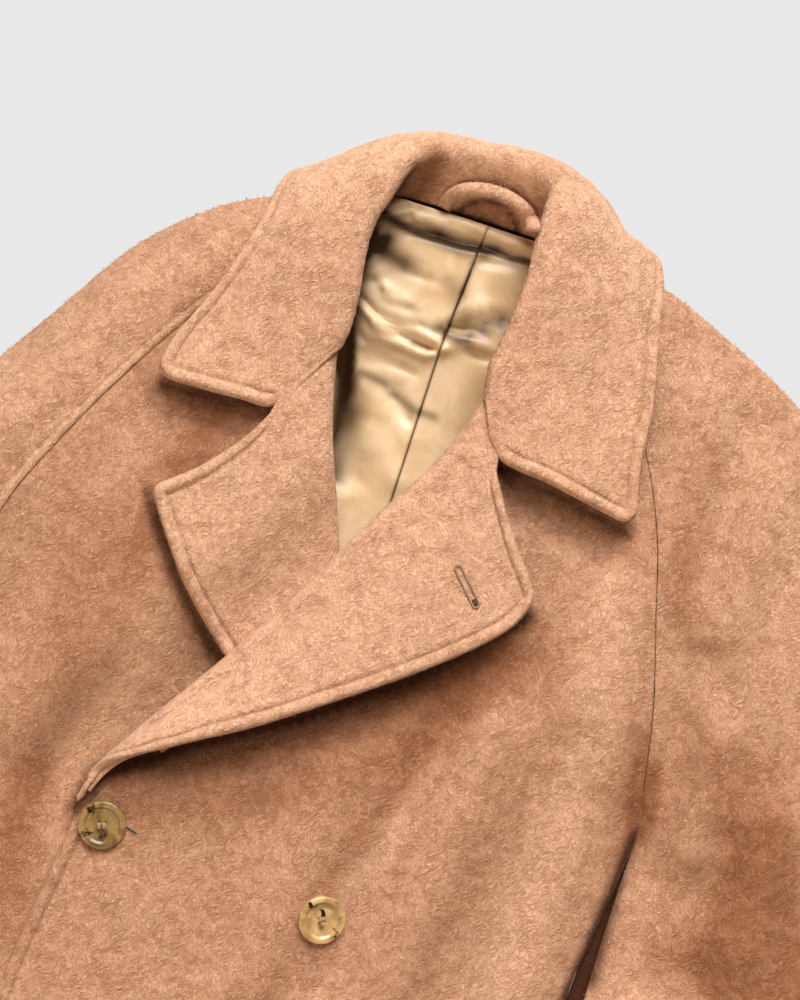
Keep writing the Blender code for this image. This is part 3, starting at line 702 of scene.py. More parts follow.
# the satin back lining, and its creases: the points of each line, half width, height
lining = {"pleatTop": 15.5, "pleatLow": 10.5, "pleatEnd": -75, "pleatDepth": 13, "sewnTo": -30, "layer": 1.5,
          "rise": 6.0, "creases": 1.3, "gathers": 0.9, "slitWide": 0.9, "hollowWide": 5.5, "neckLeft": 60,
          "neckRight": -56, "inset": 7}
liningFolds = (
    (-52, -16, -33, -6, -23, -11, -16, -5, -6.5, -9.6, -2, -3.5, 15.7, -4.7, 37, -5.1, 52, -4.8, 2.3, 2.4),
    (-48, -23, -27, -15.7, -11, -15.2, 2.3, -15.3, 15, -13.5, 35, -13.5, 52, -10.5, 3.6, -4.6),
    (-44, -24, -46, -36, 8, -5.0),
    (-34, -56, -21.7, -65.7, -7, -76.6, 7.4, -79.3, 2.6, 2.6),
    (-46, -67, -26, -76.7, -8, -83.2, 9, -84.9, 2.1, -2.4),
    (-49, -70, -29, -81.5, -10.8, -89, 4, -89.4, 12, -83, 2.6, 3.4),
    (-42, -89, -22, -99.5, -1, -101.7, 3.4, -2.2),
    (-35, -99, -17.7, -112.7, -4, -120.6, 5, -131, 3.6, -2.8),
    (-36, -113, -16, -131, 5, 2.0),
    (12.3, -67, 23.2, -65.7, 32, -58.4, 46, -49, 3.2, -4.4),
    (15.8, -57, 28.4, -47, 4, 1.8),
    (15, -81, 23.3, -73, 37, -72.6, 3.8, 2.6),
    (31, -80, 46, -78, 3.6, -2.4),
    (-21, -43, -13, -43.8, 3, -2.2),
    (-50, -60, -43, -55, 3, -2.8),
    (20, -22.5, 38, -19, 3.4, -2.2),
    (-20, -140, 10, -170, 7, 1.6),
    (-30, -140, -16, -175, 5, -2.0),
)
# beside the left fold the satin drops away, and painted shade darkens it there
liningHollow = (-53, -30, -51.5, -56, -49, -80, -45, -102, -38, -140, -30, -180)
# painted shade in the valleys: the points of each line, half width, share
liningShade = (
    (-54, -12, -40, -15, -24, -19, -10, -17, 3.6, 1.0),
    (-14, -17, 2, -19, 14, -16, 24, -14, 3.0, 0.7),
    (24, -13, 36, -15, 48, -14, 3.4, 0.9),
    (-53, -18, -51, -34, -42, -26, 5, 0.8),
    (7, -70, 18, -74, 26, -72, 36, -60, 44, -54, 4.2, 0.85),
    (-30, -112, -18, -113, -6, -119, 8, -124, 20, -124, 3.2, 0.6),
    (-45, -95, -33, -128, -22, -158, 5, 0.7),
    (14, -26, 13, -45, 2.5, 0.5),
    (-20, -60, -6, -70, 2, -72, 3.0, 0.35),
    (-45, -34, -34, -37, -22, -40, 7, 0.85),
    (-15, -16, 1, -19, 18, -17, 6, 0.7),
    (-53, -75, -49, -93, -46, -111, 5, 0.8),
    (3, -41, 15, -53, 23, -63, 6, 0.4),
)


def liningGrid():
    y = np.concatenate([-0.4 - np.array((0, 0.3, 0.8)), np.arange(-2, -200, -1.7),
                        np.arange(-200, -1080, -32)])
    sections = curveAt(bodySections, np.interp(-y, -bodyFine[:, 0], fineRows))
    # above the first section the sides run up to the neck
    left, right = lining["neckLeft"], lining["neckRight"]
    left = np.where(y > -27, left + (sections[:, 1] - left) * -y / 27, sections[:, 1]) - lining["inset"]
    right = np.where(y > -27, right + (sections[:, 2] - right) * -y / 27, sections[:, 2]) + lining["inset"]
    deep = lining["pleatDepth"]
    layer = lining["layer"]
    rows = []
    slits = []
    for k, rowY in enumerate(y):
        run = min(rowY / lining["pleatEnd"], 1)
        pleat = lining["pleatTop"] + (lining["pleatLow"] - lining["pleatTop"]) * run
        sewn = float(smooth((rowY - lining["sewnTo"] + 4) / 6))
        slot = 0.8 - 0.6 * sewn + 0.5 * (1 - sewn) * float(smooth((rowY + 76) / 12))
        # across the row: up to the pleat, over its edge, back under it and on to the other side
        over = np.array((30, 22, 15, 10, 6, 3.5, 1.6 + slot, 0.7 + slot, slot, slot - 0.25))
        overUp = np.array((0.1, 0.4, 0.9, 1.4, 1.8, 2.05, 2.1, 2.0, 1.5, 0.7))
        overUp = overUp * layer / 1.5 * (1 - 0.2 * sewn)
        under = np.array((0.8, 3, 7, deep - 1.5, deep, deep - 1.5, 7, 3, 1.2, 0.35, 0.0, 0.2))
        underUp = [layer * share for share in (0, 0, 0, 0, 0.45, 0.9, 0.9, 0.9, 0.95, 1.1, 1.4, 1.7)]
        beyond = np.array((0.9, 2.2, 4, 7, deep - 2, deep + 4, deep + 14, deep + 26))
        beyondUp = np.array((1.9, 2.0, 1.95, 1.9, 1.8, 1.4, 0.6, 0.05)) * layer
        start = left[k] + (pleat + 40 - left[k]) * np.linspace(0, 1, 30)
        end = pleat - deep - 30 + (right[k] - pleat + deep + 30) * np.linspace(0, 1, 44)[1:]
        x = np.concatenate([start, pleat + over, pleat - under, pleat - beyond, end])
        up = np.concatenate([np.zeros(30), overUp, underUp, beyondUp, np.zeros(43)])
        rows.append(np.stack([x, np.full(len(x), rowY), up], axis=-1))
        slits.append((pleat + 0.3, 0.9 - 0.5 * sewn))
    grid = np.array(rows)
    x, y = grid[..., 0], grid[..., 1]
    # a painted shadow line in the pleat's slit
    middle, deepness = np.array(slits).T[:, :, None]
    slit = deepness * bell(x, middle, lining["slitWide"])
    ground = cloth["wool"] / 2 + cloth["layerGap"] + cloth["satin"] / 2
    creases = foldHeight(x, y, liningFolds) * lining["creases"]
    # the seam gathers the top edge a little
    wave = x / 4.4 + 1.6 * np.sin(x / 10 + 1)
    creases += (lining["gathers"] * np.sin(wave) + 0.3) * bell(y, -8, 6)
    edges = smooth((x - right[:, None]) / 12) * smooth((left[:, None] - x) / 12)
    base = lining["rise"] * smooth((-y + 8) / 10) * smooth((y + 300) / 100)
    hollow = foldHeight(x, y, ((*liningHollow, lining["hollowWide"], 1.0),))
    fall = np.maximum(base + creases, 0.0) * edges * (1 - hollow)
    grid[..., 2] += backHeight(x, y) + ground + fall
    # painted shade for the satin: in the hollow, the slit and the valleys
    return grid, np.clip(hollow + slit + foldHeight(x, y, liningShade), 0, 1)


# the collar's sections from the left front round the neck to the right front: the neck seam, the fold,
# two points on the fall and its edge, each x, y, z
collarSections = np.array((
    ((52, -100, 36), (48, -105, 44), (64, -136, 45), (104, -143, 47.5), (161, -153, 41)),
    ((51, -90, 34), (47, -84, 48), (80, -104, 47), (118, -113, 46), (151.5, -117.5, 41)),
    ((55, -80, 32), (48, -70, 49), (86, -80, 48), (120, -80, 44), (147.5, -79, 40)),
    ((62, -65, 29), (49, -52, 51), (86, -54, 50), (116, -52, 43), (141, -51, 37)),
    ((70, -44, 27), (50, -32, 52), (86, -28, 51), (113, -26, 43), (134.5, -25, 31)),
    ((76, -22, 23), (49, -14, 52), (82, -6, 49), (112, -4, 37), (129, -1, 19)),
    ((70, -10, 18), (48, 4, 51), (80, 12, 46), (111, 14, 25), (119, 11, 7)),
    ((62, -1, 13), (48, 18, 49), (73, 28, 41), (102, 17, 11), (108, -8, 3)),
    ((52, 2, 12), (45, 35, 45), (60, 44, 31), (84, 28, 5), (96, -20, 3)),
    ((28, 2, 12), (26, 40, 39), (30, 49, 20), (36, 32, 3), (48, -40, 3)),
    ((0, 2, 12), (2, 38, 37), (0, 45, 19), (0, 27, 3), (0, -44, 3)),
    ((-28, 2, 12), (-22, 34, 38), (-29, 43, 21), (-34, 26, 3), (-46, -42, 3)),
    ((-50, 0, 12), (-38, 25, 44), (-53, 33, 31), (-74, 16, 5), (-84, -28, 3)),
    ((-58, -5, 13), (-46, 7, 48), (-67, 17, 41), (-92, 4, 11), (-97, -27, 3)),
    ((-65, -14, 18), (-50, -9, 50), (-76, 1, 46), (-99, -1, 25), (-106, -8, 7)),
    ((-73, -28, 23), (-53, -24, 51), (-80, -16, 49), (-102, -14, 37), (-114, -17, 20)),
    ((-67, -47, 27), (-53, -42, 51), (-82, -38, 50), (-105, -38, 43), (-118, -42, 32)),
    ((-60, -65, 29), (-51, -60, 50), (-84, -62, 49), (-110, -66, 43), (-126, -70, 38)),
    ((-55, -81, 32), (-50, -78, 48), (-86, -86, 47), (-114, -92, 43), (-135, -97, 39.5)),
    ((-52, -92, 34), (-50, -90, 47), (-82, -114, 45.5), (-114, -120, 44), (-147, -126, 43)),
    ((-52, -101, 36), (-51, -106, 43), (-74, -147, 43), (-99, -151.5, 44.5), (-154, -154, 45)),
), float)
notchLeft = 66      # x where the collar's end leaves the gorge seam, on each side
notchRight = -76
collarForm = {"sectionRun": 34, "rowStep": 0.11, "columns": 34, "seamShare": 0.4,
              "clear": 0.8,        # how far it stays above the panels
              "evened": 14}        # and how often that is spread


def collarGrid(ground):
    near = nearEdge / collarForm["sectionRun"]
    last = len(collarSections) - 1
    even = np.arange(near[-1], last - near[-1], collarForm["rowStep"])
    t = np.unique(np.concatenate([near, even, last - near]))
    across = np.linspace(0, 4, 97)
    fine = np.array([curveAt(curve, across) for curve in curveAt(collarSections, t)])
    steps = np.linalg.norm(np.diff(fine, axis=1), axis=2)
    steps = np.concatenate([np.zeros((len(fine), 1)), np.cumsum(steps, axis=1)], axis=1)
    share = spaced(steps[:, -1], collarForm["columns"], plainEdge, nearEdge)
    grid = np.zeros((*share.shape, 3))
    onward = np.zeros(share.shape)      # from 0 at the neck seam to 4 at the collar's edge
    for k, row in enumerate(share):
        onward[k] = np.interp(row * steps[k, -1], steps[k], across)
        for axis in range(3):
            grid[k, :, axis] = np.interp(row * steps[k, -1], steps[k], fine[k, :, axis])
    half = cloth["collar"] / 2
    raised = np.zeros(share.shape)
    for i, j in np.ndindex(share.shape):
        x, y, z = grid[i, j]
        low = half + 0.05
        beneathBack = z < 20 and y > -60 and onward[i, j] > 2.6
        if onward[i, j] > 1.15 and not beneathBack:
            hit = hitBelow(ground, x, y)
            low = hit.z + half + collarForm["clear"] if hit else low
        raised[i, j] = max(0.0, low - z)
    # spread what the panels below push up, so that it leaves no kink
    eased = raised.copy()
    for _ in range(collarForm["evened"]):
        wide = np.pad(eased, 1, mode="edge")
        mean = (wide[:-2, 1:-1] + wide[2:, 1:-1] + wide[1:-1, :-2] + wide[1:-1, 2:]) / 4
        eased = np.maximum(raised, mean)
    grid[..., 2] += eased
    for row in (0, -1):
        grid = cornerCut(grid, row, cloth["leafCorner"])
    return grid, onward


def collarShell(grid, onward):
    first, last, top, low = sideDistances(grid)
    freeTop = smooth((grid[0, :, 0] - notchLeft) / 2)[None, :] > 0.5
    freeLow = smooth((notchRight - grid[-1, :, 0]) / 2)[None, :] > 0.5
    edge = np.min((last, np.where(freeTop, top, np.inf), np.where(freeLow, low, np.inf)), axis=0)
    joint = np.minimum(np.where(freeTop, np.inf, top), np.where(freeLow, np.inf, low))
    fallen = smooth((onward - 0.9) / 0.4)
    relief = stitched(edge) + seamed(joint) * collarForm["seamShare"]
    parts = woolWall(grid, 11, cloth["collar"], (first, last, top, low), relief, fallen)
    # painted shade in the grooves and seams, and painted shadow inside the collar and the hanger loop
    shade = np.maximum(shaded(edge, joint) * fallen, paintedShadeAlong(grid, paintedShadowCollar) * (onward < 0.8))
    return parts, (shade, paintedShadeAlong(grid, paintedShadeCollar))


class Wire:
    # a shader socket that can be used in sums; node makes any other node
    def __init__(self, tree, socket=None):
        self.tree = tree
        self.socket = socket

    def node(self, kind, settings=None, values=None, output=0):
        made = self.tree.nodes.new(kind)
        for key, value in (settings or {}).items():
            setattr(made, key, value)
        for key, value in (values or {}).items():
            if isinstance(value, Wire):
                self.tree.links.new(value.socket, made.inputs[key])
            else:
                made.inputs[key].default_value = value
        return Wire(self.tree, made.outputs[output])

    def maths(self, operation, first, second):
        return self.node("ShaderNodeMath", {"operation": operation}, {0: first, 1: second})

    def __add__(self, other):
        return self.maths("ADD", self, other)

    def __radd__(self, other):
        return self.maths("ADD", other, self)

    def __sub__(self, other):
        return self.maths("SUBTRACT", self, other)

    def __rsub__(self, other):
        return self.maths("SUBTRACT", other, self)

    def __mul__(self, other):
        return self.maths("MULTIPLY", self, other)

    def __rmul__(self, other):
        return self.maths("MULTIPLY", other, self)

    def __truediv__(self, other):
        return self.maths("DIVIDE", self, other)

    def __rtruediv__(self, other):
        return self.maths("DIVIDE", other, self)

    def ranged(self, low, high, fromZero=0.0, toOne=1.0):
        return self.node("ShaderNodeMapRange", {"interpolation_type": "SMOOTHSTEP"}, {
            "Value": self, "From Min": low, "From Max": high, "To Min": fromZero, "To Max": toOne})

    def into(self, shader, key):
        self.tree.links.new(self.socket, shader.inputs[key])

    def uvPair(self, layer):
        # both values of a uv layer
        uv = self.node("ShaderNodeUVMap", {"uv_map": layer})
        split = self.node("ShaderNodeSeparateXYZ", {}, {"Vector": uv})
        return split, Wire(self.tree, split.socket.node.outputs[1])

    def blend(self, one, two):
        # colours: one where this is 0, two where it is 1
        one, two = [value if isinstance(value, Wire) else (*value, 1) for value in (one, two)]
        return self.node("ShaderNodeMix", {"data_type": "RGBA"}, {0: self, 6: one, 7: two}, 2)


def shaderOf(name):
    made = material(name)
    start = Wire(made.node_tree)
    return made, start, start.node("ShaderNodeTexCoord", output=3), made.node_tree.nodes["Principled BSDF"]


def noise(where, scale, detail=2.0, roughness=0.5, distortion=0.0, output=0):
    return where.node("ShaderNodeTexNoise", {}, {"Vector": where, "Scale": scale, "Detail": detail,
                                                 "Roughness": roughness, "Distortion": distortion}, output)


def setInputs(shader, values):
    for key, value in values.items():
        shader.inputs[key].default_value = value


def addBump(shader, start, strength, distance, height):
    values = {"Strength": strength, "Distance": distance, "Height": height}
    start.node("ShaderNodeBump", {}, values).into(shader, "Normal")


# boiled wool: curly felted fibres in camel, darker in the hollows between the curls, partly its own colour
# and partly painted shade
woolLook = {
    "light": (0.74, 0.485, 0.34),
    "middle": (0.61, 0.365, 0.24),
    "dark": (0.49, 0.26, 0.15),
    "strand": 860,         # sizes of its noises, in cells to a metre
    "curl": 1100,
    "clump": 110,
    "mottle": 22,
    "paintedFoldShadeTint": (0.56, 0.44, 0.36),     # what painted shade of the folds keeps of the colour
    "paintedShadowTint": (0.10, 0.05, 0.03),    # and what painted shade in a groove, joint or shadow keeps
    "roughness": 0.95,
    "sheen": 0.2,
    "bump": 1.0,
    "bumpHeight": 0.0020,
}


def woolMaterial(name, fibres):
    made, start, where, shader = shaderOf(name)
    warp = noise(where, woolLook["clump"] * 1.4, 2, 0.6, output=1)
    warped = where.node("ShaderNodeVectorMath", {"operation": "MULTIPLY_ADD"},
                        {0: warp, 1: (0.006, 0.006, 0.006), 2: where})
    layers = []
    for turn, stretch in ((50, 4.5), (118, 3.5)):
        laid = where.node("ShaderNodeMapping", {"vector_type": "TEXTURE"}, {
            "Vector": warped, "Rotation": (0, 0, radians(turn)), "Scale": (stretch, 1, 1)})
        layers.append(noise(laid, woolLook["strand"], 2, 0.6))
    clumps = noise(where, woolLook["clump"], 2, 0.5, 0.6)
    mottle = noise(where, woolLook["mottle"], 2)
    share = clumps.ranged(0.4, 0.6)
    strands = layers[0] * (1 - share * 0.75) + layers[1] * (share * 0.75)
    curls = noise(warped, woolLook["curl"], 2, 0.6, 1.0)
    relief = strands * 0.9 + curls * 0.35 + clumps * 0.3
    paintedShade, foldShade = start.uvPair("paintedShade")
    # low parts of the relief are darker, partly own colour and partly painted shade; painted fold shade makes
    # it darker and rougher
    rough = (clumps - 0.5) * (0.12 + foldShade * 0.3)
    shade = (relief / 1.5 - foldShade * 0.05 + rough).ranged(0.38, 0.6)
    colour = shade.blend(woolLook["dark"], woolLook["middle"])
    colour = (strands * 0.7 + curls * 0.3).ranged(0.5, 0.66).blend(colour, woolLook["light"])
    tone = (mottle * 0.5 + clumps * 0.5).ranged(0.3, 0.7, 0.93, 1.07)
    if fibres:
        tint, tip = start.uvPair("fibre")
        # painted shade: each fibre darker at its root
        tone = tone * (0.68 + tint * 0.32) * (0.8 + tip * 0.26)
        colour = (tint * 0.75).blend(woolLook["middle"], woolLook["light"])
    # painted shade from the piece's attribute darkens the colour
    tinted = paintedShade.blend(foldShade.blend((1, 1, 1), woolLook["paintedFoldShadeTint"]), woolLook["paintedShadowTint"])
    colour = start.node("ShaderNodeVectorMath", {"operation": "MULTIPLY"}, {0: colour, 1: tinted})
    scaled = start.node("ShaderNodeVectorMath", {"operation": "SCALE"}, {0: colour, "Scale": tone})
    scaled.into(shader, "Base Color")
    setInputs(shader, {"Roughness": woolLook["roughness"], "Sheen Weight": woolLook["sheen"],
                       "Sheen Roughness": 0.55, "Sheen Tint": (1.0, 0.78, 0.62, 1),
                       "Specular IOR Level": 0.15})
    if not fibres:
        addBump(shader, start, woolLook["bump"], woolLook["bumpHeight"], relief)
    return made


# gold-beige satin; its hollow colour is painted shade
satinLook = {"light": (0.69, 0.525, 0.35), "dark": (0.52, 0.35, 0.19), "hollow": (0.055, 0.026, 0.008),
             "roughness": 0.40, "threads": 2600}


def satinMaterial():
    made, start, where, shader = shaderOf("satin")
    threads = where.node("ShaderNodeTexWave", {"wave_type": "BANDS", "bands_direction": "X"},
                         {"Vector": where, "Scale": satinLook["threads"] / 6.3, "Distortion": 1.2,
                          "Detail": 1.0})
    cloudy = noise(where, 34, 3, 0.55, 0.7)
    fine = noise(where, 900, 2)
    colour = (cloudy * 0.75 + threads * 0.1 + fine * 0.2).ranged(0.3, 0.75)
    colour = colour.blend(satinLook["dark"], satinLook["light"])
    start.uvPair("paintedShade")[0].blend(colour, satinLook["hollow"]).into(shader, "Base Color")
    rough = satinLook["roughness"]
    (cloudy * 0.6 + fine * 0.4).ranged(0.2, 0.8, rough - 0.06, rough + 0.08).into(shader, "Roughness")
    addBump(shader, start, 0.25, 0.0002, threads * 0.5 + fine * 0.5)
    setInputs(shader, {"Sheen Weight": 0.05, "Specular IOR Level": 0.45, "Anisotropic": 0.4})
    return made


# polished horn: the over buttons are olive brown, the near ones pale amber, both with dark clouds
hornLook = {"hornOlive": {"pale": (0.30, 0.19, 0.075), "deep": (0.13, 0.08, 0.03), "clouds": 0.585},
            "hornAmber": {"pale": (0.60, 0.40, 0.20), "deep": (0.36, 0.22, 0.09), "clouds": 0.58},
            "dark": (0.02, 0.013, 0.008), "roughness": 0.2}


def hornMaterial(name):
    made, start, where, shader = shaderOf(name)
    own = hornLook[name]
    clouds = noise(where, 75, 2, 0.5, 1.2)
    blotches = noise(where, 88, 3, 0.5, 0.6)
    flecks = noise(where, 420, 2, 0.6, 1.2)
    colour = (clouds * 0.85 + flecks * 0.15).ranged(0.36, 0.64).blend(own["pale"], own["deep"])
    dark = (blotches * 0.92 + flecks * 0.08).ranged(own["clouds"], own["clouds"] + 0.08)
    dark.blend(colour, hornLook["dark"]).into(shader, "Base Color")
    clouds.ranged(0.2, 0.8, hornLook["roughness"], 0.34).into(shader, "Roughness")
    addBump(shader, start, 0.3, 0.0002, flecks)
    setInputs(shader, {"Coat Weight": 0.35, "Coat Roughness": 0.12})
    return made


# sewing thread
threadLook = {"colour": (0.50, 0.29, 0.17), "roughness": 0.7, "twist": 2400}


def threadMaterial(name, shade):
    made, start, where, shader = shaderOf(name)
    strands = noise(where, threadLook["twist"], 2, 0.6, 0.5)
    light = tuple(shade * c for c in threadLook["colour"])
    dark = tuple(0.55 * c for c in light)
    strands.ranged(0.3, 0.7).blend(dark, light).into(shader, "Base Color")
    addBump(shader, start, 0.5, 0.0002, strands)
    setInputs(shader, {"Roughness": threadLook["roughness"], "Sheen Weight": 0.3})
    return made


wool = woolMaterial("boiledWool", False)
woolFibre = woolMaterial("woolFibre", True)
satin = satinMaterial()
hornOlive = hornMaterial("hornOlive")
hornAmber = hornMaterial("hornAmber")
thread = threadMaterial("thread", 1.0)
woolThread = threadMaterial("woolThread", 0.72)
# painted shade for the buttonholes' slits
slitPaintedShade = threadMaterial("slitPaintedShade", 0.12)
print("materials made")


# nap: short curled fibres that stand off the cloth, thickest where an edge turns away
nap = {"perSquareCm": 24, "perSquareCmLow": 5, "shortest": 1.5, "longest": 3.8, "width": 0.25, "curl": 0.6,
       "rise": 0.7, "edgeExtra": 4.0, "edgeReach": 2.0, "sparseBelow": -575, "shadeLoss": 0.9}


def napPoints(grid, count, seed, weight):
    # two-piece strips lying on the grid's outer side; returns triangles, two values for each point
    # and where on the grid each strip starts
    random = np.random.default_rng(seed)
    cross = cellCrosses(grid)
    area = np.linalg.norm(cross, axis=2)
    shares = (area * weight[:-1, :-1]).ravel()
    pick = np.searchsorted(np.cumsum(shares) / shares.sum(), random.random(count))
    i, j = np.unravel_index(np.minimum(pick, shares.size - 1), area.shape)
    u, v = random.random((2, count, 1))
    base = (grid[i, j] * (1 - u) * (1 - v) + grid[i + 1, j] * u * (1 - v)
            + grid[i, j + 1] * (1 - u) * v + grid[i + 1, j + 1] * u * v)
    out = cross[i, j] / np.maximum(area[i, j][:, None], 1e-9)
    side = np.cross(out, random.normal(size=(count, 3)))
    side /= np.linalg.norm(side, axis=1, keepdims=True)
    forward = np.cross(side, out)
    length = random.uniform(nap["shortest"], nap["longest"], (count, 1))
    turn = random.uniform(0.12, nap["curl"], (count, 1)) * random.choice((-1, 1), (count, 1))
    rise = nap["rise"] * random.uniform(0.25, 1.0, (count, 1)) ** 1.5
    width = nap["width"] * random.uniform(0.6, 1.25, (count, 1))
    at = base - out * 0.12
    angle = np.zeros((count, 1))
    points = []
    values = []
    tint = random.random(count)
    # the strip's start, middle and tip: how high, how wide
    for step, (high, wide) in enumerate(((0.0, 0.8), (1.0, 1.0), (0.6, 0.0))):
        heading = forward * np.cos(angle) + side * np.sin(angle)
        across = side * np.cos(angle) - forward * np.sin(angle)
        here = at + out * rise * high
        ends = (here,) if wide == 0 else (here - across * width * wide / 2, here + across * width * wide / 2)
        for end in ends:
            points.append(end)
            values.append(np.stack([tint, np.full(count, step / 2)], axis=-1))
        at = at + heading * length / 2
        angle = angle + turn * length / 2
    points = np.stack(points, axis=1)
    values = np.stack(values, axis=1)
    triangles = np.array(((0, 1, 3), (0, 3, 2), (2, 3, 4)))
    faces = (np.arange(count)[:, None, None] * 5 + triangles).reshape(-1, 3)
    return points.reshape(-1, 3), faces, values.reshape(-1, 2), (np.repeat(i, 5), np.repeat(j, 5))


def shownWeight(grid):
    # how dense the nap is: full where the photo shows the coat, sparse below
    low = nap["perSquareCmLow"] / nap["perSquareCm"]
    return low + (1 - low) * smooth((grid[..., 1] - nap["sparseBelow"]) / 25)


def addNap(name, grid, outward, seed, shade, flat):
    # outward is 1 or -1: which side of the grid is the cloth's face
    # shade and flat are the cloth's painted shade, which the fibres take on, and they thin out where it is
    if flat is None:
        flat = np.zeros_like(shade)
    face, shade, flat = [values if outward > 0 else values[:, ::-1] for values in (grid, shade, flat)]
    closest = np.min(sideDistances(face), axis=0)
    weight = shownWeight(face) * (1 + nap["edgeExtra"] * np.exp(-closest / nap["edgeReach"]))
    weight = weight * (1 - nap["shadeLoss"] * shade)
    area = np.linalg.norm(cellCrosses(face), axis=2)
    count = int((area * weight[:-1, :-1]).sum() / 100 * nap["perSquareCm"])
    points, faces, values, starts = napPoints(face, count, seed, weight)
    tones = np.stack([shade[starts], flat[starts]], axis=-1)
    obj = meshObject(name, points, faces, woolFibre, (("fibre", values), ("paintedShade", tones)))
    attach(obj)
    print(f"  {name}: {count} fibres")
    return obj


# the over front is the wearer's left, on the viewer's right
def addFront(name, side, edges, pressed, top, rim, height, lifts, notchX, seed):
    grid, t = bodyGrid(side, edges, pressed)
    parts, *shades = bodyShell(grid, t, seed)
    turned = lapelGrid(side, edges, top, rim, height, lifts, lapels["fine"])
    hidden = lapelGrid(side, edges, top, rim, height, lifts, lapels["hiddenFine"], lapels["inset"], False)
    first, *others = sideDistances(hidden)
    half = rounded(np.min(others, axis=0), cloth["wool"] / 2)
    hiddenParts = shellMesh(hidden, half, half)
    # painted shade on the front, none on the lapel's hidden layer
    creases = np.concatenate([twice(*shades), np.zeros((len(hiddenParts[0]), 2))])
    # one object holds the front and the lapel's hidden layer
    front = meshObject(name, *joined((parts, hiddenParts)), wool, (("paintedShade", creases),))
    built[name] = front, grid, parts, shades
    build(name.replace("front", "lapel"), *facingShell(side, turned, notchX, seed + 1))


addFront("frontLeft", 1, overEdge, overPressed, overTop, overRim, overHeight, lapels["overLift"],
         notchLeft, 21)
addFront("frontRight", -1, underEdge, underPressed, underTop, underRim, underCrossed, lapels["underLift"],
         notchRight, 31)
print("fronts and lapels made")

# sleeves, back and lining
for name, side, outers, inners, (fine, coarse), height, seed in (
        ("sleeveLeftFront", 1, leftOuter, leftInner, sleeves["top"], sleeveTop, 41),
        ("sleeveRightFront", -1, rightOuter, rightInner, sleeves["top"], sleeveTop, 51),
        ("sleeveLeftBack", 1, leftOuter, leftBackInner, sleeves["back"], sleeveBack, 61),
        ("sleeveRightBack", -1, rightOuter, rightBackInner, sleeves["back"], sleeveBack, 71)):
    grid, t = sleeveGrid(side, outers, inners, fine, coarse, height)
    build(name, grid, *sleeveShell(grid, t, seed, height is sleeveTop))
grid = backGrid()
build("back", grid, evenShell(grid, cloth["wool"]))
# tone is the lining's painted shade
grid, tone = liningGrid()
build("backLining", grid, evenShell(grid, cloth["satin"]), (tone, None), satin)
print("sleeves, back and lining made")

grid, onward = collarGrid(treeOf("frontLeft", "frontRight", "sleeveLeftFront", "sleeveRightFront"))
build("collar", grid, *collarShell(grid, onward))
print("collar made")

# hanger loop: a stitched strip of the same cloth, both feet in the neck seam
loop = {"width": 8.6, "thick": 5.0, "middle": 14.0, "reachX": 28.5, "footY": 0.5, "reachY": 18.5,
        "clear": 2.4, "rows": 60, "columns": 6, "evened": 7}


def loopGrid(ground):
    turn = np.linspace(0.02, pi - 0.02, loop["rows"])
    share = spaced(np.full(len(turn), loop["width"]), loop["columns"], plainEdge, plainEdge)
    rows = []
    for k, angle in enumerate(turn):
        x = loop["middle"] - loop["reachX"] * cos(angle)
        y = loop["footY"] + loop["reachY"] * sin(angle) ** 0.8
        out = Vector((-0.9 * cos(angle), sin(angle) + 0.15)).normalized() * loop["width"]
        heights = []
        for c in (0, 0.5, 1):
            hit = hitBelow(ground, x + out.x * (c - 0.5), max(y + out.y * (c - 0.5), 3.5))
            heights.append((hit.z if hit else 20) + loop["thick"] / 2 + loop["clear"] * sin(angle) + 0.3)
        # the strip stands nearly level, clear of the sloping stand behind it
        z = max(heights) - 1.2 * abs(share[k] - 0.5)
        rows.append(np.stack([x + out.x * (share[k] - 0.5), y + out.y * (share[k] - 0.5), z], axis=-1))
    grid = np.array(rows)
    kernel = np.ones(loop["evened"]) / loop["evened"]
    for column in range(grid.shape[1]):
        z = np.pad(grid[:, column, 2], loop["evened"] // 2, mode="edge")
        grid[:, column, 2] = np.convolve(z, kernel, mode="valid")
    return grid


grid = loopGrid(treeOf("collar"))
first, last, top, low = sideDistances(grid)
inward = np.clip(np.minimum(first, last) / (loop["width"] / 2), 0, 1)
up = loop["thick"] / 2 * np.sqrt(np.clip(1 - (1 - inward) ** 2.2, 0, 1)) + 0.02
up *= rounded(np.minimum(top, low), 1.0)
build("hangerLoop", grid, shellMesh(grid, up, up))
print("hanger loop made")

# buttons
button = {"size": 30.0, "thick": 4.6, "rim": 3.6, "dish": 1.3, "hole": 0.85, "holeOut": 1.65, "stand": 0.6,
          "threadWide": 0.75, "shank": 2.4, "shankLong": 3.0, "bevel": 0.7, "pitch": 132.0, "rows": 3,
          "over": (-97, -428), "near": (50, -442)}


def activate(*objects):
    # selects only these; the first one becomes the active one
    bpy.ops.object.select_all(action="DESELECT")
    for obj in objects:
        obj.select_set(True)
    if objects:
        bpy.context.view_layer.objects.active = objects[0]


def cylinder(sides, radius, depth, at):
    activate()
    bpy.ops.mesh.primitive_cylinder_add(vertices=sides, radius=radius, depth=depth, location=at)
    return bpy.context.object


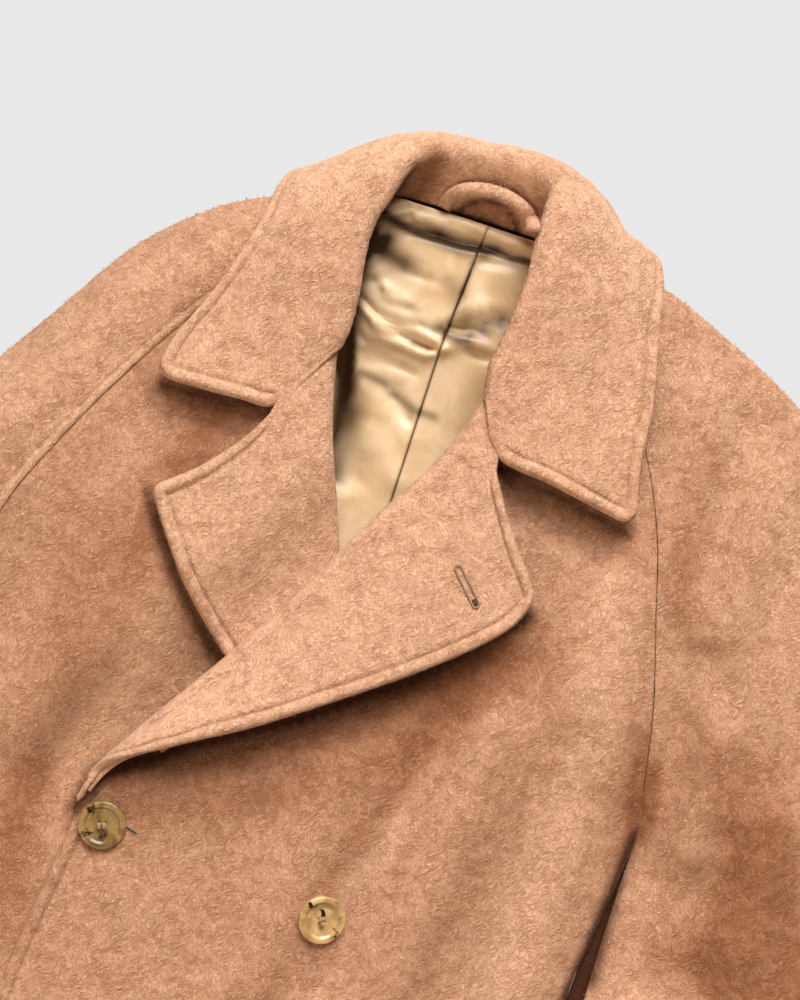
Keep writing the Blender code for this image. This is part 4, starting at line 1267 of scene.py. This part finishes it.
def buttonBlank():
    t = button["thick"] * mm
    blank = cylinder(72, button["size"] / 2 * mm, t, (0, 0, t / 2))
    bpy.ops.object.mode_set(mode="EDIT")
    bpy.ops.mesh.select_mode(type="FACE")
    bpy.ops.mesh.select_all(action="DESELECT")
    bpy.ops.object.mode_set(mode="OBJECT")
    for face in blank.data.polygons:
        face.select = face.normal.z > 0.9
    bpy.ops.object.mode_set(mode="EDIT")
    # the top, from its edge inwards: how far in, then how far up
    rim = button["rim"]
    for inset, rise in ((rim * 0.45, 0.3), (rim * 0.55, 0), (0.9, -button["dish"]), (3.0, -0.25)):
        bpy.ops.mesh.inset(thickness=inset * mm)
        if rise:
            bpy.ops.transform.translate(value=(0, 0, rise * mm))
    bpy.ops.object.mode_set(mode="OBJECT")
    bevel = blank.modifiers.new("edges", "BEVEL")
    bevel.width = button["bevel"] * mm
    bevel.segments = 4
    bevel.limit_method = "ANGLE"
    bevel.angle_limit = radians(28)
    bpy.ops.object.modifier_apply(modifier="edges")
    out = button["holeOut"] * mm
    for x, y in ((1, 1), (-1, 1), (-1, -1), (1, -1)):
        cutter = cylinder(24, button["hole"] * mm, 4 * t, (x * out, y * out, 0))
        activate(blank)
        cut = blank.modifiers.new("hole", "BOOLEAN")
        cut.operation = "DIFFERENCE"
        cut.object = cutter
        bpy.ops.object.modifier_apply(modifier="hole")
        bpy.data.objects.remove(cutter)
    activate(blank)
    bpy.ops.object.shade_smooth_by_angle(angle=radians(32))
    return blank


def threadBlank():
    # two runs of thread between the holes and the shank under them
    out = button["holeOut"] * mm
    height = (button["thick"] - button["dish"] + 0.1) * mm
    pieces = []
    for side in (-1, 1):
        for shift in (-0.5, 0.5):
            activate()
            bpy.ops.mesh.primitive_torus_add(major_segments=32, minor_segments=8, major_radius=out,
                                             minor_radius=button["threadWide"] / 2 * mm,
                                             location=(side * out + shift * 0.8 * mm, 0, height),
                                             rotation=(0, radians(90), 0))
            pieces.append(bpy.context.object)
            pieces[-1].scale = (0.42, 1, 1)
            bpy.ops.object.transform_apply(location=True, rotation=True, scale=True)
    pieces.append(cylinder(20, button["shank"] * mm, button["shankLong"] * mm, (0, 0, -0.7 * mm)))
    activate(*pieces)
    bpy.ops.object.join()
    bpy.ops.object.shade_smooth()
    return bpy.context.object


def buttonSeat(tree, x, y):
    reach = button["size"] / 2
    slopeX = (hitBelow(tree, x + reach, y).z - hitBelow(tree, x - reach, y).z) / button["size"]
    slopeY = (hitBelow(tree, x, y + reach).z - hitBelow(tree, x, y - reach).z) / button["size"]
    highest = -100.0
    for share in (0, 0.35, 0.7, 0.95):
        for angle in np.arange(12) * pi / 6:
            dx, dy = cos(angle) * reach * share, sin(angle) * reach * share
            highest = max(highest, hitBelow(tree, x + dx, y + dy).z - slopeX * dx - slopeY * dy)
    normal = Vector((-slopeX, -slopeY, 1)).normalized()
    return Vector((x, y, highest)) + normal * button["stand"], normal


overTree = treeOf("frontLeft")
buttonParts = (("button", buttonBlank(), "horn"), ("buttonThread", threadBlank(), "boiled_wool"))
for column, look, firstSpin in (("over", hornOlive, 12), ("near", hornAmber, 40)):
    for k in range(button["rows"]):
        x, y = button[column][0], button[column][1] - k * button["pitch"]
        foot, normal = buttonSeat(overTree, x, y)
        spin = Matrix.Rotation(radians(31 * k + firstSpin), 4, "Z")
        lean = normal.to_track_quat("Z", "Y").to_matrix().to_4x4()
        for title, blank, slotName in buttonParts:
            activate(blank)
            bpy.ops.object.duplicate()
            made = bpy.context.object
            made.name = f"{title}{column.capitalize()}{k + 1}"
            made.matrix_world = Matrix.Translation((foot + Vector((0, neckY, 0))) * mm) @ lean @ spin
            bpy.ops.object.transform_apply(location=True, rotation=True, scale=True)
            made.data.materials.clear()
            isButton = title == "button"
            made.data.materials.append(look if isButton else thread)
            attach(made, f"button_{column}_{k + 1}" if isButton else None)
for title, blank, slotName in buttonParts:
    bpy.data.objects.remove(blank)
print("buttons made")

# buttonholes: a rail of thread round a slit dark with painted shade, on the over lapel and beside each over
# button;
# both ends, half width, how wide the thread is, where along it the slit starts to open
buttonholes = {"lapel": (63, -209, 80, -226.5, 2.1, 1.5, 0.9),
               "over": (12.5, 3.5, 21.3, 1.3, 0.9, 0.6, 0.0),
               "step": 0.7, "rise": 0.25, "bulge": 0.3, "sides": 8, "slitSteps": 12, "slitTop": 0.32,
               "slitLow": -0.4, "slitWide": 0.75}


def addButtonhole(name, tree, x0, y0, x1, y1, halfWide, wide, opens):
    run = np.array((x1 - x0, y1 - y0))
    length = np.hypot(*run)
    run = run / length
    across = np.array((-run[1], run[0]))
    turns = np.linspace(0, pi, 9)
    ring = [(length + halfWide * sin(a), halfWide * cos(a)) for a in turns]
    ring += [(-halfWide * sin(a), -halfWide * cos(a)) for a in turns]
    line = []
    for here, following in zip(np.array(ring), np.roll(ring, -1, axis=0)):
        steps = max(1, int(np.hypot(*(following - here)) / buttonholes["step"]))
        line += [here + (following - here) * i / steps for i in range(steps)]
    line = np.array(line)
    flat = np.array((x0, y0)) + line[:, :1] * run + line[:, 1:] * across
    centres = np.array([(x, y, hitBelow(tree, x, y).z + buttonholes["rise"]) for x, y in flat])
    forward = np.roll(centres, -1, axis=0) - np.roll(centres, 1, axis=0)
    forward /= np.linalg.norm(forward, axis=1, keepdims=True)
    upward = np.array((0, 0, 1.0))
    side = np.cross(forward, upward)
    # each stitch makes a small bulge
    bulge = wide / 2 * (1 + buttonholes["bulge"] * np.sin(np.arange(len(line)) * 2.1))[:, None]
    sides = buttonholes["sides"]
    tube = np.stack([centres + side * bulge * cos(a) + upward * bulge * sin(a)
                     for a in np.arange(sides) * 2 * pi / sides], axis=1)
    index = np.arange(len(line) * sides).reshape(-1, sides)
    onward = np.roll(index, -1, axis=0)
    faces = np.stack([index, np.roll(index, -1, axis=1), np.roll(onward, -1, axis=1), onward], axis=-1)
    rail = meshObject(name, tube.reshape(-1, 3), faces.reshape(-1, 4), woolThread)
    # the slit: a thin plate between the rails, dark with painted shade for the depth of the cut
    count = buttonholes["slitSteps"]
    share = np.linspace(length * opens - halfWide * 0.5, length + halfWide * 0.5, count)
    plate = []
    for rise in (buttonholes["slitTop"], buttonholes["slitLow"]):
        for reach in (-halfWide * buttonholes["slitWide"], halfWide * buttonholes["slitWide"]):
            at = np.array((x0, y0)) + share[:, None] * run + reach * across
            plate += [(x, y, hitBelow(tree, x, y).z + rise) for x, y in at]
    order = np.arange(4 * count).reshape(4, count)[[0, 1, 3, 2]]
    around = np.roll(order, -1, axis=0)
    faces = np.stack([order[:, :-1], order[:, 1:], around[:, 1:], around[:, :-1]], axis=-1).reshape(-1, 4)
    caps = np.array((order[::-1, 0], order[:, -1]))
    slit = meshObject(name + "Slit", np.array(plate), np.concatenate([faces, caps]), slitPaintedShade)
    for made in (rail, slit):
        attach(made)


addButtonhole("buttonholeLapel", treeOf("lapelLeft"), *buttonholes["lapel"])
for k in range(button["rows"]):
    x, y = button["over"][0], button["over"][1] - k * button["pitch"]
    x0, y0, x1, y1, *rest = buttonholes["over"]
    addButtonhole(f"buttonhole{k + 1}", overTree, x + x0, y + y0, x + x1, y + y1, *rest)
print("buttonholes made")


def outerSide(parts, grid):
    # the half of the shell that faces up, in an order whose normals point out
    size = grid.shape[0] * grid.shape[1]
    halves = parts[0][:size].reshape(grid.shape), parts[0][size:].reshape(grid.shape)
    middle = grid.shape[0] // 2, grid.shape[1] * 2 // 3
    upper = 0 if halves[0][middle][2] > halves[1][middle][2] else 1
    face = halves[upper]
    n = np.cross(face[middle[0] + 1, middle[1]] - face[middle], face[middle[0], middle[1] + 1] - face[middle])
    away = halves[upper][middle] - halves[1 - upper][middle]
    return face, 1 if np.dot(n, away) > 0 else -1


# each piece: node, slot, how it is held, what it rests on, its flat size in metres; its nap and seed
pieces = (
    ("frontLeft", "front_left", "boiled_wool", "laid", ["back"], (0.39, 1.12), "napFrontLeft", 101),
    ("frontRight", "front_right", "boiled_wool", "laid", ["back"], (0.35, 1.12), "napFrontRight", 102),
    ("lapelLeft", "facing_left", "boiled_wool", "folded", ["frontLeft"], (0.12, 0.37), "napLapelLeft", 105),
    ("lapelRight", "facing_right", "boiled_wool", "folded", ["frontRight"], (0.12, 0.34),
     "napLapelRight", 106),
    ("sleeveLeftFront", "sleeve_left_front", "boiled_wool", "laid", ["sleeveLeftBack"], (0.25, 0.72),
     "napSleeveLeft", 103),
    ("sleeveRightFront", "sleeve_right_front", "boiled_wool", "laid", ["sleeveRightBack"], (0.2, 0.75),
     "napSleeveRight", 104),
    ("sleeveLeftBack", "sleeve_left_back", "boiled_wool", "laid", [], (0.25, 0.7), None, 0),
    ("sleeveRightBack", "sleeve_right_back", "boiled_wool", "laid", [], (0.2, 0.74), None, 0),
    ("back", "back", "boiled_wool", "laid", [], (0.54, 1.1), None, 0),
    ("backLining", "back_lining", "satin", "laid", ["back"], (0.54, 1.07), None, 0),
    ("collar", "collar", "boiled_wool", "folded", ["frontLeft", "frontRight"], (0.53, 0.22),
     "napCollar", 107),
    ("hangerLoop", "hanger_loop", "boiled_wool", "laid", ["collar"], (0.01, 0.11), "napLoop", 108),
)
for name, node, slotName, held, restsOn, flat, napName, seed in pieces:
    obj, grid, parts, shades = built[name]
    naps = []
    if napName:
        shades = shades or (np.zeros(grid.shape[:2]), None)
        naps = [addNap(napName, *outerSide(parts, grid), seed, *shades)]
    attach(obj, node)
    # the sheet's own area, on the middle of the modelled cloth
    area = float(np.linalg.norm(cellCrosses(grid), axis=2).sum()) * mm * mm

# the photo's cut-out ground, light and camera
view = {"centreX": 0.016, "centreY": 0.080, "distance": 1.9, "tilt": 18.0, "height": 0.62,
        "sensor": 24, "ground": 0.685}
activate()
bpy.ops.mesh.primitive_plane_add(size=6, location=(0, 0, 0))
floor = bpy.context.object
floor.name = "cutOutGround"
floorLook = material("paleGround")
floorShader = floorLook.node_tree.nodes["Principled BSDF"]
setInputs(floorShader, {"Base Color": (0, 0, 0, 1), "Roughness": 1.0, "Specular IOR Level": 0.0,
                        "Emission Color": (view["ground"],) * 3 + (1,), "Emission Strength": 1.0})
floor.data.materials.append(floorLook)

cameraData = bpy.data.cameras.new("photoCamera")
cameraData.sensor_fit = "VERTICAL"
cameraData.sensor_height = view["sensor"]
cameraData.lens = view["sensor"] * view["distance"] / view["height"]
camera = bpy.data.objects.new("photoCamera", cameraData)
bpy.context.scene.collection.objects.link(camera)
camera.location = (view["centreX"], view["centreY"], view["distance"] + 0.03)
camera.rotation_euler = (0, 0, radians(view["tilt"]))
bpy.context.scene.camera = camera

# two soft lights, one low from the top of the photo and a weaker one from its lower left: the angle
# from the photo's right, the angle above the floor, strength and spread
lights = {"key": (74, 36, 5.2, 42), "fill": (236, 34, 1.6, 60), "sky": 0.12, "bounce": (1.0, 0.84, 0.68)}


def softLight(name, colour, turn, rise, power, spread):
    data = bpy.data.lights.new(name, "SUN")
    data.energy = power
    data.color = colour
    data.angle = radians(spread)
    made = bpy.data.objects.new(name, data)
    bpy.context.scene.collection.objects.link(made)
    turn, rise = radians(turn + view["tilt"]), radians(rise)
    toLight = Vector((cos(turn) * cos(rise), sin(turn) * cos(rise), sin(rise)))
    made.location = toLight * 3
    made.rotation_euler = (-toLight).to_track_quat("-Z", "Y").to_euler()
    return made


softLight("key", (1, 1, 1), *lights["key"])
softLight("fill", lights["bounce"], *lights["fill"])
world = bpy.data.worlds.new("sky")
bpy.context.scene.world = world
world.use_nodes = True
background = world.node_tree.nodes["Background"]
background.inputs["Color"].default_value = (*lights["bounce"], 1)
background.inputs["Strength"].default_value = lights["sky"]
bpy.context.scene.view_settings.view_transform = "Standard"
bpy.context.scene.view_settings.look = "Medium High Contrast"
